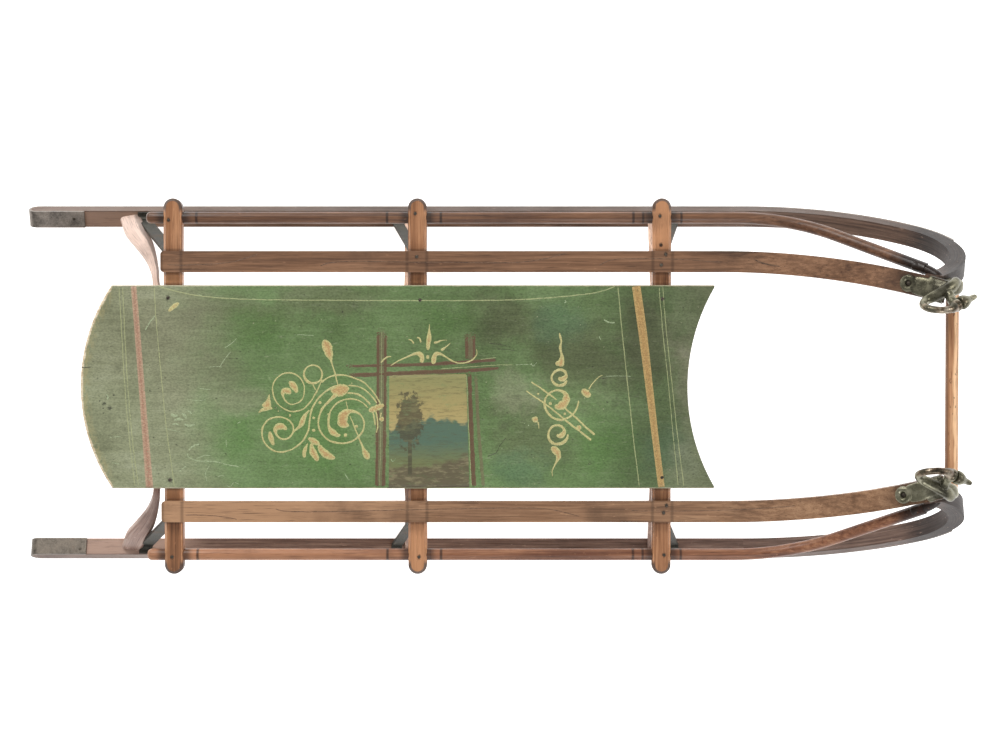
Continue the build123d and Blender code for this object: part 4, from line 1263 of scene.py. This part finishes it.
# Half of the rear bow, from the middle of the sled to a foot. A station is how far forward, outwards and
# up, then half the breadth and half the depth of the section, all in millimetres.
rear_bow_half = [
    (-329.5, -3, 126, 0, 0), (-329.5, 0, 126, 5.5, 5), (-330, 50, 126, 5.5, 5), (-332, 84, 123.5, 5.0, 4.8),
    (-337.6, 106, 114, 3.6, 4.5), (-341.8, 119.6, 99, 4.4, 4.3), (-348.6, 133.6, 82, 6.2, 4.1),
    (-359.2, 148.6, 62, 9.4, 4.0), (-371.6, 163, 43, 11.2, 4.0), (-379.6, 175.4, 24, 10.8, 4.0),
    (-381.6, 179.4, 19.5, 10.0, 3.4), (-381.8, 180.2, 18.8, 0, 0),
]


def add_rear_bow(material):
    """The rear bow as it was bent: slim under the bar and spread towards its feet."""
    form = bmesh.new()
    form.verts.layers.float.new("front")
    form.verts.layers.float.new("along")
    for side in (1, -1):
        limb(form, side, no_shift, rear_bow_half, sled_across, square=0.36, parts=8, around=32,
             place=sled_place)
    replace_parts(finish_piece("bow_rear_bent", form, material), "bow_rear")


def add_finials(material, sleeve_wood):
    """Both castings, and the ends of the side rods that run in under them.

    A casting has a lug with its boss, a cap over the slat's end, a nose on the curl, a swooping neck,
    the ring and a bird's head.
    """
    for side, shift in finial_shifts.items():
        name = "left" if side == 1 else "right"
        form = bmesh.new()
        limb(form, side, shift, finial_neck)
        limb(form, side, shift, finial_throat)
        limb(form, side, shift, finial_nose, square=0.66)
        limb(form, side, shift, finial_lug, lug_across, square=0.5)
        limb(form, side, no_shift, finial_cap, lug_across, square=0.5)
        spun(form, boss_place(side, shift), boss_normal, finial_boss, 40)
        root = cast_place(side, shift, *head_root)
        beak = cast_place(side, shift, *(a + b for a, b in zip(head_root, head_way)))
        spun(form, root, (beak - root).normalized(), finial_head, 32)
        piece = finish_piece(f"finial_casting_{name}", form, material)
        cast = piece.modifiers.new("one_casting", "REMESH")
        cast.mode = "VOXEL"
        cast.voxel_size = cast_cell
        cast.use_smooth_shade = True
        soft = piece.modifiers.new("soft_edges", "SMOOTH")
        soft.factor = cast_softness
        soft.iterations = cast_passes
        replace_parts(piece, f"finial_{name}")
        form = bmesh.new()
        # The sleeve takes the left rod's wood, whose painted shade at the front end makes it nearly black.
        limb(form, side, no_shift, rod_sleeve)
        finish_piece(f"rod_sleeve_{name}", form, sleeve_wood)


def landscape_finish():
    """A soft painted view: ochre sky, a blue-green ridge, brown ground and one round tree."""
    f = Finish("landscape_paint")
    under, streak, scuff, fine = seat_surface(f)
    corner = from_picture(*panel_corner, seat_top)
    along = f.times(f.less(f.x, corner.x), 1 / (panel_length * pixel))
    up = f.times(f.less(f.y, corner.y), 1 / (panel_breadth * pixel))
    brushwork = f.less(f.grain(f.place, 50.0, 170.0, 100.0, 6.0, 0.72), 0.5)
    ridge = f.less(f.grain(f.place, 24.0, 3.0, 3.0, 3.0, 0.5), 0.5)
    shaken = f.add(up, f.times(brushwork, 0.16))
    sky = f.ramp(shaken, [(0.4, rgb(182, 166, 114)), (0.7, rgb(168, 152, 100)), (0.95, rgb(144, 140, 92))])
    hill = f.band(f.add(shaken, f.times(ridge, 0.9)), 0.56, 0.52)
    hill_tone = f.ramp(shaken, [(0.22, rgb(112, 118, 78)), (0.42, rgb(84, 108, 90))])
    ground = f.band(f.add(shaken, f.times(along, -0.16), f.times(ridge, -0.5)), 0.19, 0.13)
    ground_tone = f.ramp(brushwork, [(0.0, rgb(98, 90, 68)), (0.1, rgb(130, 122, 92))])
    from_trunk = f.less(along, tree_along)
    away = f.length(f.times(from_trunk, 1.5), f.less(up, tree_up))
    leafy = f.less(f.noise(f.place, 130.0, 6.0, 0.7), 0.5)
    crown = f.band(f.add(away, f.times(leafy, 0.7)), 0.26, 0.2)
    trunk = f.times(f.band(f.size(from_trunk), 0.03, 0.018), f.band(up, tree_up, 0.55),
                    f.band(up, 0.1, 0.14))
    tree_tone = f.ramp(brushwork, [(0.0, rgb(76, 72, 54)), (0.12, rgb(106, 104, 74))])
    flakes = f.add(f.noise(f.place, 620.0, 5.0, 0.72), f.band(f.own("depth"), 0.0, 0.9, 0.22, 0.0))
    colour = f.layers(
        sky,
        (hill, hill_tone),
        (ground, ground_tone),
        (f.times(f.most(crown, trunk), 0.85), tree_tone),
        (f.band(flakes, 0.62, 0.70), under),
        (f.band(scuff, 0.52, 0.7, 0.0, 0.5), under),
        (f.band(fine, 0.5, 0.36, 0.0, 0.4), rgb(84, 78, 54)))
    f.bump(f.add(f.times(streak, 0.6), brushwork), 0.3 * MM, 0.35)
    return f.done(colour, 0.5, coat=0.1, coat_rough=0.3)


def add_decoration():
    """Everything that is painted on the board and on the side slats."""
    gold = decoration_finish("gold_paint", rgb(196, 190, 132), rgb(192, 152, 104), 0.16, 0.14, 0.42)
    pale = decoration_finish("pale_line_paint", rgb(178, 184, 134), rgb(184, 180, 126), 0.45, 0.3)
    red = decoration_finish("red_stripe_paint", rgb(186, 152, 128), rgb(170, 122, 102), 0.42, 0.16, 0.5)
    ochre = decoration_finish("ochre_stripe_paint", rgb(190, 158, 102), rgb(178, 140, 88), 0.36, 0.16, 0.5)
    maroon = decoration_finish("maroon_paint", rgb(102, 72, 56), rgb(92, 56, 46), 0.25, 0.14, 0.2)
    faint = decoration_finish("faint_maroon_paint", rgb(118, 98, 78), rgb(112, 88, 72), 0.3, 0.45, 0.2)
    chip = decoration_finish("chipped_primer", rgb(168, 184, 146), rgb(180, 188, 152), 0.6, 0.2)
    grime = decoration_finish("dirt_in_scratches", rgb(60, 60, 44), rgb(50, 48, 36), 0.5, 0.2)
    stripe = {"step": 3.0, "blunt": True}
    thread = {"step": 2.5}
    frame_line = {"step": 2.5, "fade": (12.0, 3.0)}
    for name, strokes, lift, material, how in (
        ("gold_great_scroll", great_scroll, 0.12, gold, {}),
        ("gold_lesser_spirals", lesser_spirals, 0.11, gold, {}),
        ("gold_scroll_leaves", scroll_leaves, 0.12, gold, {}),
        ("gold_leaf_spray", leaf_spray, 0.13, gold, {}),
        ("gold_ring_column", ring_column, 0.12, gold, {}),
        ("gold_dab", ochre_dab, 0.1, gold, {}),
        ("red_stripe", red_stripe, 0.05, red, stripe),
        ("ochre_stripe", ochre_stripe, 0.05, ochre, stripe),
        ("thin_seat_lines", thin_lines, 0.07, pale, thread),
        ("frame_lines", frame_lines, 0.07, maroon, frame_line),
        ("faint_frame_lines", faint_lines, 0.06, faint, frame_line),
        ("frame_threads", frame_threads, 0.09, pale, thread),
        ("landscape_panel", panel_strokes, 0.04, landscape_finish(), {"step": 4.0, "blunt": True}),
        ("pale_scratches", pale_scratches, 0.03, chip, {}),
        ("paint_chips", paint_chips, 0.03, chip, {}),
        ("dark_scratches", dark_scratches, 0.03, grime, {}),
    ):
        paint(name, strokes, lift * MM, material, **how)
    lining = slat_line_finish()
    for side, strokes in (("left", left_slat_lines), ("right", right_slat_lines)):
        tree = node_tree(f"side_slat_{side}")
        paint(f"slat_lining_{side}", strokes, 0.05 * MM, lining, slot="slat_wood", step=2.5,
              surface=lambda column, row: on_surface(tree, column, row)[0])


def slat_line_finish():
    """Thin black lining, rubbed through to the brown of the slat."""
    f = Finish("slat_lining_paint")
    patchy = f.grain(f.place, 260.0, 500.0, 500.0, 4.0, 0.7)
    colour = f.ramp(patchy, [(0.4, rgb(70, 52, 40)), (0.62, rgb(124, 94, 72))])
    f.bump(patchy, 0.2 * MM, 0.4)
    return f.done(colour, 0.5, coat=0.1)


add_camera()
add_studio()
dress_nodes()
add_decoration()
add_nails(iron_finish("nail_iron", rgb(54, 48, 42), rgb(104, 96, 86), 0.4, 0.4, 0.6))
add_finials(casting_finish(), nodes["side_rod_left"].data.materials[0])
add_rear_bow(rear_bow_finish())
